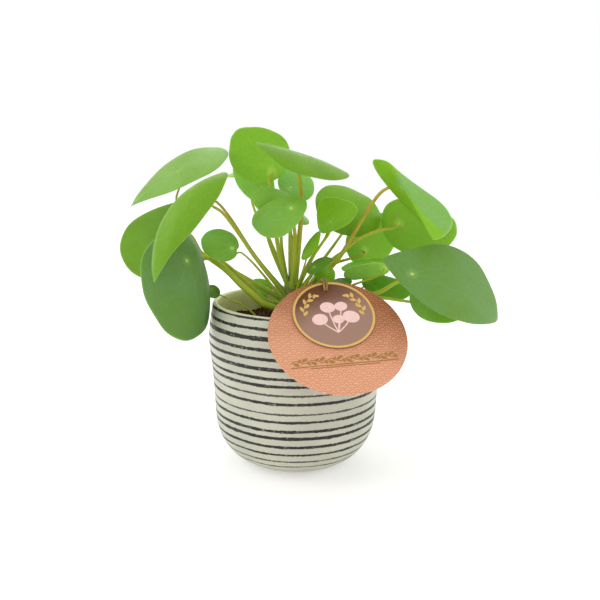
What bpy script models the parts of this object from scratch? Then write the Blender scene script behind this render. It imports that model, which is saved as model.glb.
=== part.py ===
"""A Chinese money plant in a striped pot, with a round card tag tied to its stem.

Sizes are in millimetres and are turned into metres where a mesh is made. The origin is the
centre of the pot's foot, +Z is up and the plant faces -Y.
"""
from math import cos, pi, radians, sin, sqrt, tan

import bmesh
import bpy
from mathutils import Vector

MM = 0.001
GAP = 0.3                      # clear space between neighbouring pieces

# Pot: a tumbler of stoneware, widest a little below its lip
POT_HEIGHT = 126.0
POT_WALL = 4.6
POT_FLOOR = 8.0
POT_SIDES = 44
POT_PROFILE = (                # (radius, height) of the outer wall, foot to lip
    (30.0, 0.0), (39.0, 2.0), (47.0, 6.6), (53.6, 13.2), (59.1, 22.6), (62.2, 35.2),
    (63.4, 53.0), (65.0, 75.5), (67.4, 98.0), (66.4, 112.0), (64.6, 122.5),
)

# Soil, its planting holes and its unevenness
SOIL_TOP = 110.0
SOIL_BUMP = 0.9
STEM_HOLE_FLOOR = 87.7
OFFSET_HOLE_FLOOR = 95.7

# Stem, standing a little left of the pot's axis
STEM_X = -4.0
STEM_FOOT = 88.0
STEM_TOP = 142.0
STEM_FOOT_RADIUS = 6.0
STEM_TOP_RADIUS = 4.6
STEM_SIDES = 12
STALK_SIDES = 6
STALK_ROOT_SETBACK = 3.0       # where a stalk starts inside the stem, from its axis

# Blades
BLADE_THICKNESS = 0.8
LARGE_BLADE = 40.0             # blades longer than this get the finer grid

# The leafless stalk of the small offset plant at the pot's left edge
OFFSET_FOOT = (-30.0, -2.0, 96.0)
OFFSET_RADIUS = 0.9

# Round tag: a large card with a smaller card on it, leaning on the pot's lip
CARD_RADIUS = 48.2
CARD_THICKNESS = 0.8
DISC_RADIUS = 29.0
DISC_THICKNESS = 0.8
DISC_RAISE = 17.8              # the small card's centre above the large card's, along the card
DISC_SHIFT = -0.5
TAG_CENTRE = (28.8, -72.2, 116.5)
TAG_FACING = (0.097, -0.62, 0.779)
TAG_HOLE_RADIUS = 2.4
TAG_HOLE = (-3.5, 40.2)        # right and up from the large card's centre
TAG_SIDES = 48

# Twine
TWINE_RADIUS = 0.9
TWINE_TIE_HEIGHT = 111.8
TWINE_TIE_RADIUS = 7.9
TWINE_TIE_ANGLES = (-141, -180, -215, -250, -285, -315, -345, -370)
TWINE_HALF = (                 # one strand from the bight behind the card, over its face
    (0.9, -6.2, -3.4), (2.1, -3.6, -3.4), (1.15, -0.6, -1.2), (0.97, -0.4, 0.9),
    (0.97, 0.8, 2.9), (0.97, 3.4, 3.6), (0.97, 6.8, 3.3), (1.1, 10.0, 0.8), (2.4, 10.4, -5.0),
)

LEAF_BRIGHT = (0.24, 0.49, 0.05, 1.0)
LEAF_GREEN = (0.14, 0.31, 0.07, 1.0)
LEAF_DEEP = (0.05, 0.13, 0.03, 1.0)
STALK_GREEN = (0.33, 0.36, 0.08, 1.0)
SOIL_BROWN = (0.10, 0.04, 0.025, 1.0)
CERAMIC_CREAM = (0.68, 0.67, 0.54, 1.0)
CARD_COPPER = (0.60, 0.24, 0.15, 1.0)
DISC_MAUVE = (0.34, 0.20, 0.18, 1.0)
TWINE_TAN = (0.40, 0.28, 0.13, 1.0)


def blade(base, tip, width, turn, cup, arch, stem_height, via=(), **more):
    """One leaf of the plant, in millimetres and degrees.

    base and tip are the two ends of the midrib's chord. turn leans the upper face towards
    the front, cup bends the halves down to either side of the midrib, arch lifts the midrib
    over its chord and via is the route of the stalk from the stem outwards.
    """
    leaf = dict(crease=0.0, egg=0.1, socket=0.3, aside=0.0, skew=0.0, twist=0.0, point=0.0,
                stalk=1.5, colour=LEAF_GREEN)
    leaf.update(base=base, tip=tip, width=width, turn=turn, cup=cup, arch=arch,
                stem_height=stem_height, via=via)
    leaf.update(more)
    return leaf


# crease sharpens the fold at the midrib, egg widens the base, socket is where along the
# midrib the stalk joins and aside how far off it, skew turns the outline against the fold,
# twist turns the tip against the base, point narrows the tip (or the base, if negative)
# and stalk is the stalk's radius half way up.
LEAVES = {
    "blade_left_high": blade(
        (-55, 18, 238.5), (-126, 2.5, 196), 56, 18, 8, 6, 130,
        ((-31.5, 7, 158), (-53.5, 7, 191), (-65, 9, 201.5), (-79, 11, 200), (-92, 13, 198)),
        egg=0.7, socket=0.48, point=0.5, stalk=1.15, colour=LEAF_BRIGHT),
    "blade_left_hanging": blade(
        (-50.5, -38.5, 224.5), (-96, -73, 152.5), 53, -5, 75, 18.5, 127,
        ((-31.5, -8, 160), (-45, -12, 180.5), (-55, -17, 194.5), (-60.5, -20, 198.5)), crease=0.1,
        egg=-0.17, socket=0.26, point=0.66, stalk=1.25, colour=LEAF_BRIGHT),
    "blade_left_rear": blade(
        (-89.5, 35, 198.5), (-130, 25, 140.5), 48.5, 54, 4, 7.5, 123,
        ((-23.5, 1, 125.5), (-31, 1, 131.5), (-40.5, 2, 140), (-50.5, 4, 149), (-58.5, 8, 154),
         (-73, 14, 158), (-83, 17, 173)), egg=-0.55, twist=-14, point=-0.59, stalk=1.8),
    "blade_left_low": blade(
        (-90, -30.5, 181.5), (-75.5, -38, 104), 76.5, 8, 54, 11.5, 118,
        ((-25, -9, 124.5), (-32.5, -9, 131), (-42, -8, 139), (-51.5, -6, 148),
         (-61.5, -3, 155), (-70, 1, 158), (-79, -9, 152.5)), egg=0.24, socket=0.28, stalk=2.3),
    "blade_left_small": blade(
        (-44, -6.5, 164.5), (-71.5, -9, 173.5), 28.5, 49, 11, 2.3, 121,
        ((-26, -5, 147), (-42, -4, 163)), egg=0.11, socket=0.19, stalk=1),
    "blade_top_round": blade(
        (-17, 18.5, 216.5), (-46, 5.5, 253.5), 50, -49, 12, 6.4, 136,
        ((-15, 4, 168), (-17, 8, 190)), egg=0.22, socket=0.12, point=0.27, stalk=1.6,
        colour=LEAF_BRIGHT),
    "blade_top_level": blade(
        (-30.5, -24.5, 244.5), (37, -17.5, 223), 54.5, 14, 33, 2.6, 139,
        ((1.5, -4, 174.5), (3, -1, 201.5)), crease=0.2, egg=0.2, socket=0.47, point=-0.6,
        stalk=1.9, colour=LEAF_BRIGHT),
    "blade_centre_upper": blade(
        (1, -4, 196), (-33.5, -12, 205), 30, 45, 15, 2, 138, ((-3, -5, 169.5),), egg=0, stalk=1.6,
        colour=LEAF_BRIGHT),
    "blade_centre_lower": blade(
        (6, -24.5, 204.5), (-30.5, -33.5, 184.5), 32, 44, 19, 1, 136, ((-1.5, -9, 173),),
        egg=-0.37, socket=0.29, point=-0.14, stalk=1.7),
    "blade_centre_rear": blade(
        (-12, 20, 206), (9, 30, 219), 32, 50, 15, 2, 137, ((-5.5, 9, 170),), egg=0, stalk=1.6),
    "blade_crown_pale": blade(
        (-24, 42.5, 224), (-46, 39.5, 207.5), 50.5, -64, 15, 3, 134, ((-23, 20, 171),), egg=0,
        socket=0.4, stalk=1.3, colour=LEAF_BRIGHT),
    "blade_inner_right_rear": blade(
        (13.5, 15.5, 199), (65.5, 28.5, 188), 51.5, 46, 21, 3.4, 132,
        ((9, 1, 155), (16, 4, 165.5), (22, 8, 174.5)), egg=0.16, stalk=1.2, colour=LEAF_BRIGHT),
    "blade_inner_right_cupped": blade(
        (15, -3, 185.5), (44, -9, 197.5), 38, 43, -45, -3, 131, ((9.5, -5, 155), (15, -5, 166)),
        egg=0.75, stalk=1.2),
    "blade_sprout_slim": blade(
        (3.5, -14, 160), (17, -16, 181.5), 14, 40, 30, 1, 128, crease=0.3, egg=0, socket=0.15,
        point=0.3, stalk=0.9),
    "blade_right_folded": blade(
        (61, -6, 240), (98, -34, 175.5), 37, 74, 75, -6.5, 128,
        ((29, 3, 155), (47.5, 0, 186.5), (56.5, 3, 201), (63.5, 7.5, 209), (71.5, 11, 213)),
        crease=0.95, egg=-0.6, socket=0.36, skew=17, twist=74, point=-0.24, stalk=1.7),
    "blade_right_turned": blade(
        (66, 27, 189), (123, 12, 177), 53, -61, 9, -4.8, 125, ((42, 3, 170), (61, 5, 179.5)),
        egg=0.18, socket=0.25, colour=LEAF_BRIGHT),
    "blade_right_leaning": blade(
        (42, 36, 154), (78, 46, 182), 48, -75, 15, 3, 122, ((28, 22, 150), (41, 29, 154)),
        socket=0.28, aside=4.7, stalk=1.4, colour=LEAF_BRIGHT),
    "blade_right_broad": blade(
        (62, -31, 163.5), (145.5, -39.5, 126), 71.5, 35, -7, 7.5, 119,
        ((59, -15, 135), (74, -26, 146)), egg=-0.63, socket=0.25, aside=-6.2, twist=-32,
        point=-0.54, stalk=1.9),
    "blade_right_under": blade(
        (86.5, -4, 132.5), (130.5, -25.5, 129.5), 43, 42, 20, 1.4, 115,
        ((57, -6, 129.5), (86, -6, 127)), egg=0.06, point=-0.2),
    "blade_right_shaded": blade(
        (51.5, 22, 138.5), (90, 14, 129.5), 27, 30, 20, 2, 117, socket=0.1, stalk=1.1,
        colour=LEAF_DEEP),
    "blade_right_level": blade(
        (70, 22, 153), (35, 26, 147), 24, 12, 20, 2, 123, stalk=1.1),
    "blade_right_tucked": blade(
        (72, 6, 151), (36, 10, 144), 24, -40, 15, 2, 118, ((42, 0, 138),), egg=0, socket=0.12,
        stalk=1.1, colour=LEAF_BRIGHT),
    "blade_sprout_flat": blade(
        (26, 0, 140), (42, -4, 141), 18, 16, 15, 1, 118, egg=0, stalk=0.9, colour=LEAF_DEEP),
    "blade_sprout_dark": blade(
        (7.5, -17, 151), (27, -21, 161.5), 14, 40, 20, 2, 126, egg=0, point=0.4, stalk=0.9,
        colour=LEAF_DEEP),
    "blade_sprout_round": blade(
        (27, -4, 152), (15, -8, 143), 18, 50, 20, 2, 124, egg=0, stalk=0.9),
    "blade_pot_rear": blade(
        (-20, 30, 128), (-39, 32, 132), 16, 50, 15, 1, 116, ((-17, 25, 117), (-25, 35, 122)),
        egg=0, stalk=0.9),
    "blade_back_high": blade(
        (-25, 62, 222), (-57, 78, 218), 45, 8, 15, 2, 135, ((-22, 30, 168), (-38, 62, 196)),
        stalk=1.4, colour=LEAF_BRIGHT),
    "blade_back_left": blade(
        (-88, 60, 175), (-134, 72, 150), 46, 35, 25, 4, 124, ((-45, 20, 142),), stalk=1.6),
    "blade_back_inner_right": blade(
        (31, 56, 187), (69, 80, 170), 44, -30, 20, 3, 127),
    "blade_back_right": blade(
        (83, 44, 182), (127, 70, 168), 46, -30, 20, 3, 121, ((30, 46, 152), (72, 58, 170)),
        stalk=1.6),
    "blade_back_centre": blade(
        (-6, 48, 181), (-9, 80, 191), 38, -20, 20, 3, 129, ((-12.5, 14, 169),), stalk=1.4),
}

# The offset plant is a leaf of its own, on a thread of a stalk out of the soil
OFFSET_LEAF = blade(
    (-68.5, 1, 136), (-60, -3, 128.5), 10.5, 45, 15, 1, 0,
    ((-30, -2, 103), (-30, -2, 111.5), (-41, -1, 121.5), (-52, 1, 126)), egg=0,
    stalk=OFFSET_RADIUS)


def clear_scene():
    for thing in list(bpy.data.objects):
        bpy.data.objects.remove(thing, do_unlink=True)


def surface(name, colour, roughness, metallic=0.0):
    material = bpy.data.materials.new(name)
    material.use_nodes = True
    shader = material.node_tree.nodes["Principled BSDF"]
    shader.inputs["Base Color"].default_value = colour
    shader.inputs["Roughness"].default_value = roughness
    shader.inputs["Metallic"].default_value = metallic
    material.diffuse_color = colour
    return material


def place(name, grid, material, smooth_angle=50):
    """Turns a bmesh in millimetres into a named object in metres."""
    bmesh.ops.scale(grid, vec=(MM, MM, MM), verts=grid.verts)
    bmesh.ops.recalc_face_normals(grid, faces=grid.faces)
    mesh = bpy.data.meshes.new(name)
    grid.to_mesh(mesh)
    grid.free()
    mesh.materials.append(material)
    mesh.shade_smooth()
    mesh.set_sharp_from_angle(angle=radians(smooth_angle))
    thing = bpy.data.objects.new(name, mesh)
    bpy.context.collection.objects.link(thing)
    return thing


def turned(profile, sides):
    """A closed solid of revolution about Z from (radius, height) points on or off the axis."""
    grid = bmesh.new()
    points = [grid.verts.new((radius, 0.0, height)) for radius, height in profile]
    edges = [grid.edges.new(pair) for pair in zip(points[:-1], points[1:])]
    bmesh.ops.spin(grid, geom=points + edges, cent=(0, 0, 0), axis=(0, 0, 1), angle=2 * pi,
                   steps=sides, use_merge=True)
    bmesh.ops.remove_doubles(grid, verts=grid.verts, dist=1e-4)
    return grid


def pot_inner_profile():
    """The inside of the wall, lip to floor, one wall's thickness in from the outside."""
    wall = [(radius - POT_WALL, height) for radius, height in POT_PROFILE if height > 20.0]
    corner = [(50.5, 13.5), (42.0, POT_FLOOR + 0.6), (34.0, POT_FLOOR)]
    return wall[::-1] + corner


def build_pot(material):
    lip_outer = POT_PROFILE[-1][0]
    lip = [(lip_outer - 0.9, POT_HEIGHT - 0.9), (lip_outer - 2.3, POT_HEIGHT),
           (lip_outer - POT_WALL + 1.0, POT_HEIGHT - 0.9)]
    outline = [(0.0, 0.0)] + list(POT_PROFILE) + lip + pot_inner_profile() + [(0.0, POT_FLOOR)]
    grid = turned(outline, POT_SIDES)
    middle = [vert for vert in grid.verts if vert.co.xy.length < 0.01]
    bmesh.ops.dissolve_verts(grid, verts=middle)     # the foot and the floor are one face each
    return place("pot", grid, material)


def drill(body, centre, radius, bottom, top):
    """Cuts a plain upright hole."""
    bpy.ops.mesh.primitive_cylinder_add(
        vertices=16, radius=radius * MM, depth=(top - bottom) * MM,
        location=(centre[0] * MM, centre[1] * MM, (top + bottom) / 2 * MM))
    cutter = bpy.context.active_object
    cut = body.modifiers.new("hole", "BOOLEAN")
    cut.operation = "DIFFERENCE"
    cut.object = cutter
    apply_modifiers(body)
    bpy.data.objects.remove(cutter, do_unlink=True)


def apply_modifiers(thing):
    """Keeps the evaluated mesh and drops the modifiers."""
    depsgraph = bpy.context.evaluated_depsgraph_get()
    mesh = bpy.data.meshes.new_from_object(thing.evaluated_get(depsgraph))
    thing.modifiers.clear()
    thing.data = mesh


def build_soil(material):
    wall = [(radius - (GAP if height > 20.0 else 2 * GAP), height)
            for radius, height in pot_inner_profile() if height < SOIL_TOP - 4.0]
    rim = wall[0][0] - 0.9
    top = [(0.0, SOIL_TOP), (12.0, SOIL_TOP), (24.0, SOIL_TOP - 0.3), (38.0, SOIL_TOP - 0.6),
           (50.0, SOIL_TOP - 1.0), (rim - 1.5, SOIL_TOP - 2.0), (rim, SOIL_TOP - 4.0)]
    floor = [(radius, height + GAP) for radius, height in wall[-2:]]
    grid = turned(top + wall[:-2] + floor + [(0.0, POT_FLOOR + GAP)], POT_SIDES)
    for vert in grid.verts:
        distance = vert.co.xy.length
        if vert.co.z > SOIL_TOP - 1.5 and distance > 20.0:
            ripple = sin(0.31 * vert.co.x + 1.0) * cos(0.27 * vert.co.y)
            vert.co.z += SOIL_BUMP * (ripple + 0.6 * sin(0.9 * vert.co.x + 0.7 * vert.co.y))
    bmesh.ops.triangulate(grid, faces=grid.faces)
    soil = place("soil", grid, material)
    drill(soil, (STEM_X, 0.0), STEM_FOOT_RADIUS + GAP + 0.1, STEM_HOLE_FLOOR, SOIL_TOP + 5.0)
    drill(soil, OFFSET_FOOT, OFFSET_RADIUS + GAP + 0.2, OFFSET_HOLE_FLOOR, SOIL_TOP + 5.0)
    return soil


def blade_axes(leaf):
    """The chord's start and length, and the directions along, across and out of the blade."""
    base = Vector(leaf["base"])
    chord = Vector(leaf["tip"]) - base
    along = chord.normalized()
    upright = (Vector((0, 0, 1)) - along * along.z).normalized()
    forward = along.cross(upright)
    if forward.y > 0:
        forward.negate()
    out = upright * cos(radians(leaf["turn"])) + forward * sin(radians(leaf["turn"]))
    return base, chord.length, along, out.cross(along), out


def blade_point(leaf, axes, run, side):
    """A point of the curved blade, from run (0 base to 1 tip) and side (mm off the midrib)."""
    base, length, along, across, out = axes
    skew = radians(leaf["skew"])
    lengthwise = (run - 0.5) * length
    run = 0.5 + (cos(skew) * lengthwise - sin(skew) * side) / length
    side = sin(skew) * lengthwise + cos(skew) * side
    half = leaf["width"] / 2
    cup = radians(leaf["cup"])
    crease = leaf["crease"]
    share = side / half
    reach = (1 - crease) * sin(cup * share) / cup + crease * share * cos(0.8 * cup)
    fall = ((1 - crease) * (1 - cos(cup * share)) / cup
            + crease * (sqrt(share * share + 0.01) - 0.1) * sin(0.8 * cup))
    twist = radians(leaf["twist"]) * (run - 0.5)
    shift = half * (reach * cos(twist) + fall * sin(twist))
    lift = 4 * leaf["arch"] * run * (1 - run) + half * (reach * sin(twist) - fall * cos(twist))
    return base + along * run * length + across * shift + out * lift


def rim_point(leaf, angle):
    """Where the flat outline lies at an angle round the blade: run and side."""
    run = 0.5 * (1 - cos(angle))
    narrowed = run if leaf["point"] >= 0 else 1 - run
    taper = 1 - abs(leaf["point"]) * narrowed ** 4
    side = leaf["width"] / 2 * sin(angle) * (1 + leaf["egg"] * (0.5 - run)) * taper
    return run, side


def build_blade(name, leaf, material):
    """A thin curved sheet round the stalk's socket, thickened to both sides."""
    axes = blade_axes(leaf)
    large = axes[1] > LARGE_BLADE
    count = 20 if large else 14
    shares = (0.35, 0.7, 1.0) if large else (0.5, 1.0)
    socket, aside = leaf["socket"], leaf["aside"]
    grid = bmesh.new()
    centre = grid.verts.new(blade_point(leaf, axes, socket, aside))
    rings = []
    for share in shares:
        ring = []
        for step in range(count):
            run, side = rim_point(leaf, 2 * pi * step / count)
            run = socket + share * (run - socket)
            side = aside + share * (side - aside)
            ring.append(grid.verts.new(blade_point(leaf, axes, run, side)))
        rings.append(ring)
    for step in range(count):
        after = (step + 1) % count
        grid.faces.new((centre, rings[0][step], rings[0][after]))
        for inner, outer in zip(rings[:-1], rings[1:]):
            grid.faces.new((inner[step], outer[step], outer[after]))
            grid.faces.new((inner[step], outer[after], inner[after]))
    thing = place(name, grid, material)
    shell = thing.modifiers.new("thickness", "SOLIDIFY")
    shell.thickness = BLADE_THICKNESS * MM
    shell.offset = 0.0
    return thing


def socket_frame(leaf):
    """The blade's point over the stalk's end and its outward direction there."""
    axes = blade_axes(leaf)
    socket, aside = leaf["socket"], leaf["aside"]
    along = (blade_point(leaf, axes, socket + 0.02, aside)
             - blade_point(leaf, axes, socket - 0.02, aside))
    across = (blade_point(leaf, axes, socket, aside + 1.0)
              - blade_point(leaf, axes, socket, aside - 1.0))
    out = along.cross(across).normalized()
    if out.dot(axes[4]) < 0:
        out.negate()
    return blade_point(leaf, axes, socket, aside), out


def stalk_end(leaf, came_from):
    """Where the stalk stops under the blade, its last direction and its end's facing."""
    touch, out = socket_frame(leaf)
    arrival = (out + 0.9 * (touch - came_from).normalized()).normalized()
    side_slope = tan(radians(leaf["cup"]) * (0.2 + 0.6 * leaf["crease"]) + 0.12)
    below = BLADE_THICKNESS / 2 + GAP + 0.05 + 0.6 * leaf["stalk"] * side_slope
    return touch - out * below, arrival, out


def smooth_route(points, spacing):
    """Points about spacing apart on a smooth curve through the given points."""
    tangents = [points[1] - points[0]]
    for before, after in zip(points[:-2], points[2:]):
        tangents.append(after - before)
    tangents.append(points[-1] - points[-2])
    route = []
    for index, (start, end) in enumerate(zip(points[:-1], points[1:])):
        length = (end - start).length
        leave = tangents[index].normalized() * length
        arrive = tangents[index + 1].normalized() * length
        steps = max(1, round(length / spacing))
        for step in range(steps):
            t = step / steps
            route.append(start * (2 * t**3 - 3 * t**2 + 1) + leave * (t**3 - 2 * t**2 + t)
                         + end * (3 * t**2 - 2 * t**3) + arrive * (t**3 - t**2))
    route.append(points[-1])
    return route


def stalk_points(leaf):
    """The stalk's route from inside the stem to the blade's socket, and its end's facing."""
    via = [Vector(point) for point in leaf["via"]]
    heading = (via[0] if via else socket_frame(leaf)[0]) - Vector((STEM_X, 0, 0))
    heading.z = 0.0
    start = Vector((STEM_X, 0, leaf["stem_height"])) + heading.normalized() * STALK_ROOT_SETBACK
    end, arrival, facing = stalk_end(leaf, via[-1] if via else start)
    approach = end - arrival * min(9.0, 0.25 * leaf["width"])
    return [start] + via + [approach, end], facing


def tube(name, route, radii, sides, facing, material):
    """A round bar along a route, its radius given at each point. Its last end is cut to facing."""
    grid = bmesh.new()
    rings = []
    guide = Vector((0.0, 0.0, 1.0)).cross(route[1] - route[0])
    guide = guide.normalized() if guide.length > 1e-6 else Vector((1, 0, 0))
    for index, point in enumerate(route):
        ahead = route[min(index + 1, len(route) - 1)] - route[max(index - 1, 0)]
        ahead.normalize()
        if index == len(route) - 1:
            ahead = facing
        guide = (guide - ahead * guide.dot(ahead)).normalized()
        cross = ahead.cross(guide)
        rings.append([grid.verts.new(point + (guide * cos(2 * pi * k / sides)
                                              + cross * sin(2 * pi * k / sides)) * radii[index])
                      for k in range(sides)])
    for ring, following in zip(rings[:-1], rings[1:]):
        for k in range(sides):
            grid.faces.new((ring[k], ring[(k + 1) % sides], following[(k + 1) % sides],
                            following[k]))
    grid.faces.new(rings[0][::-1])
    grid.faces.new(rings[-1])
    bmesh.ops.triangulate(grid, faces=grid.faces)
    return place(name, grid, material)


def build_crown(material):
    """The stem and every leaf stalk that grows from it, grown together as one body."""
    stem_profile = [(0.0, STEM_FOOT), (STEM_FOOT_RADIUS, STEM_FOOT),
                    (STEM_FOOT_RADIUS, SOIL_TOP + 1.0), (5.4, 118.0),
                    (STEM_TOP_RADIUS, STEM_TOP - 6.0), (2.4, STEM_TOP - 1.2), (0.0, STEM_TOP)]
    grid = turned(stem_profile, STEM_SIDES)
    bmesh.ops.translate(grid, vec=(STEM_X, 0, 0), verts=grid.verts)
    bmesh.ops.triangulate(grid, faces=grid.faces)
    crown = place("stem_and_stalks", grid, material)
    stalks = bpy.data.collections.new("stalks")
    bpy.context.scene.collection.children.link(stalks)
    for name, leaf in LEAVES.items():
        points, facing = stalk_points(leaf)
        route = smooth_route(points, 13.0)
        last = len(route) - 1
        radii = [leaf["stalk"] * (1.25 - 0.65 * step / last) for step in range(last + 1)]
        stalk = tube("stalk_of_" + name, route, radii, STALK_SIDES, facing, material)
        bpy.context.collection.objects.unlink(stalk)
        stalks.objects.link(stalk)
    join = crown.modifiers.new("grown together", "BOOLEAN")
    join.operation = "UNION"
    join.operand_type = "COLLECTION"
    join.collection = stalks
    apply_modifiers(crown)
    for stalk in list(stalks.objects):
        bpy.data.objects.remove(stalk, do_unlink=True)
    bpy.data.collections.remove(stalks)
    return crown


def build_offset_plant(stalk_material, leaf_material):
    """The small offset at the pot's left edge: a thread of a stalk and one tiny leaf."""
    via = [Vector(point) for point in OFFSET_LEAF["via"]]
    end, arrival, facing = stalk_end(OFFSET_LEAF, via[-1])
    points = [Vector(OFFSET_FOOT)] + via + [end - arrival * 2.5, end]
    route = smooth_route(points, 8.0)
    radii = [OFFSET_RADIUS * (1.0 - 0.4 * step / (len(route) - 1)) for step in range(len(route))]
    tube("offset_stalk", route, radii, STALK_SIDES, facing, stalk_material)
    build_blade("blade_offset", OFFSET_LEAF, leaf_material)


def tag_axes():
    """The tag's right, up and facing directions."""
    facing = Vector(TAG_FACING).normalized()
    up = (Vector((0, 0, 1)) - facing * facing.z).normalized()
    return up.cross(facing), up, facing


def on_tag(right, up, off):
    """A point given by its place on the large card and its height off the card's middle."""
    axes = tag_axes()
    return Vector(TAG_CENTRE) + axes[0] * right + axes[1] * up + axes[2] * off


def build_card(name, centre, radius, thickness, off, material):
    """A round card with the punched hole for the twine."""
    grid = bmesh.new()
    rims = []
    for height in (off - thickness / 2, off + thickness / 2):
        outer = [grid.verts.new(on_tag(centre[0] + radius * cos(2 * pi * k / TAG_SIDES),
                                       centre[1] + radius * sin(2 * pi * k / TAG_SIDES), height))
                 for k in range(TAG_SIDES)]
        inner = [grid.verts.new(on_tag(TAG_HOLE[0] + TAG_HOLE_RADIUS * cos(2 * pi * k / 12),
                                       TAG_HOLE[1] + TAG_HOLE_RADIUS * sin(2 * pi * k / 12),
                                       height))
                 for k in range(12)]
        rims.append((outer, inner))
    for which in (0, 1):
        low, high = rims[0][which], rims[1][which]
        count = len(low)
        for k in range(count):
            grid.faces.new((low[k], low[(k + 1) % count], high[(k + 1) % count], high[k]))
    for outer, inner in rims:
        edges = [grid.edges.get((ring[k], ring[(k + 1) % len(ring)]))
                 for ring in (outer, inner) for k in range(len(ring))]
        bmesh.ops.triangle_fill(grid, edges=edges, use_beauty=True)
    return place(name, grid, material, smooth_angle=30)


def twine_points():
    """The loop's route: two strands over the tag's edge and through its hole, one round the stem."""
    stem = Vector((STEM_X, 0.0, TWINE_TIE_HEIGHT))
    hole_right, hole_up = TAG_HOLE
    strand = [(hole_right - side, hole_up + up, off) for side, up, off in TWINE_HALF]
    points = [on_tag(*place) for place in strand]
    for degrees in TWINE_TIE_ANGLES:
        angle = radians(degrees)
        points.append(stem + Vector((cos(angle), sin(angle), 0)) * TWINE_TIE_RADIUS)
    return points + [on_tag(2 * hole_right - right, up, off) for right, up, off in strand[::-1]]


def build_twine(material):
    """A closed loop of cord that holds the tag to the stem."""
    spline_points = closed_route(twine_points(), 2.6)
    curve = bpy.data.curves.new("tag_twine", "CURVE")
    curve.dimensions = "3D"
    curve.bevel_depth = TWINE_RADIUS * MM
    curve.bevel_resolution = 2
    spline = curve.splines.new("POLY")
    spline.points.add(len(spline_points) - 1)
    for target, point in zip(spline.points, spline_points):
        target.co = (*(point * MM), 1.0)
    spline.use_cyclic_u = True
    curve.materials.append(material)
    twine = bpy.data.objects.new("tag_twine", curve)
    bpy.context.collection.objects.link(twine)
    return twine


def closed_route(points, spacing):
    """Points about spacing apart on a smooth closed curve."""
    count = len(points)
    route = []
    for index in range(count):
        before, start, end, after = (points[(index + shift) % count] for shift in (-1, 0, 1, 2))
        length = (end - start).length
        leave = (end - before).normalized() * length
        arrive = (after - start).normalized() * length
        steps = max(1, round(length / spacing))
        for step in range(steps):
            t = step / steps
            route.append(start * (2 * t**3 - 3 * t**2 + 1) + leave * (t**3 - 2 * t**2 + t)
                         + end * (3 * t**2 - 2 * t**3) + arrive * (t**3 - t**2))
    return route


def main():
    clear_scene()
    build_pot(surface("ceramic", CERAMIC_CREAM, 0.55))
    build_soil(surface("soil", SOIL_BROWN, 0.95))
    build_crown(surface("stem_and_stalks", STALK_GREEN, 0.5))
    for name, leaf in LEAVES.items():
        build_blade(name, leaf, surface(name, leaf["colour"], 0.45))
    build_offset_plant(surface("offset_stalk", STALK_GREEN, 0.5),
                       surface("blade_offset", LEAF_GREEN, 0.45))
    build_card("tag_card", (0.0, 0.0), CARD_RADIUS, CARD_THICKNESS, 0.0,
               surface("card", CARD_COPPER, 0.5))
    build_card("tag_disc", (DISC_SHIFT, DISC_RAISE), DISC_RADIUS, DISC_THICKNESS,
               CARD_THICKNESS / 2 + GAP + DISC_THICKNESS / 2, surface("disc", DISC_MAUVE, 0.45))
    build_twine(surface("twine", TWINE_TAN, 0.9))


main()
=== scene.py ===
"""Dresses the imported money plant: glazed pot, potting soil, living leaves, card tag and twine.

Laid out as an add-on: every group of pieces has its settings, its operator and its line in the
sidebar. Sizes in the tables are in millimetres and turn into metres where a mesh is made.
"""
import random
from math import atan2, cos, exp, pi, radians, sin, sqrt

import bmesh
import bpy
from bpy.props import FloatProperty, FloatVectorProperty, IntProperty, PointerProperty
from mathutils import Matrix, Vector, noise


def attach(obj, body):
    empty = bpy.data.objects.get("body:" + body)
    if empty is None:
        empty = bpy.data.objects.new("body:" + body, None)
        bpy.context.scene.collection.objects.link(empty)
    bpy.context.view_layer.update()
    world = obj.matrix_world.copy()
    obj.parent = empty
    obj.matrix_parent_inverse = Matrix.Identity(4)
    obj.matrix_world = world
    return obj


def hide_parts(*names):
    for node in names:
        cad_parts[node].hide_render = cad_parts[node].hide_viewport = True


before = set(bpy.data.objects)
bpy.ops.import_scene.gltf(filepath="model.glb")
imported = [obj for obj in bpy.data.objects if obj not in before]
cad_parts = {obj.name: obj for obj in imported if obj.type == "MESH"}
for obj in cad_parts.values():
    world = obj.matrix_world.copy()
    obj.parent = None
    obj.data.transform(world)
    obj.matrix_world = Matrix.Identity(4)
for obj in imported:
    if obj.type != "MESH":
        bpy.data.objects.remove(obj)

bl_info = {
    "name": "Potted Money Plant",
    "version": (1, 0, 0),
    "blender": (4, 5, 0),
    "location": "3D View > Sidebar > Money Plant",
    "description": "Builds the looks of a potted money plant round its packed solids",
    "category": "Object",
}

MM = 0.001
PLANT = "root"                 # the one body that every piece rides on

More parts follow.
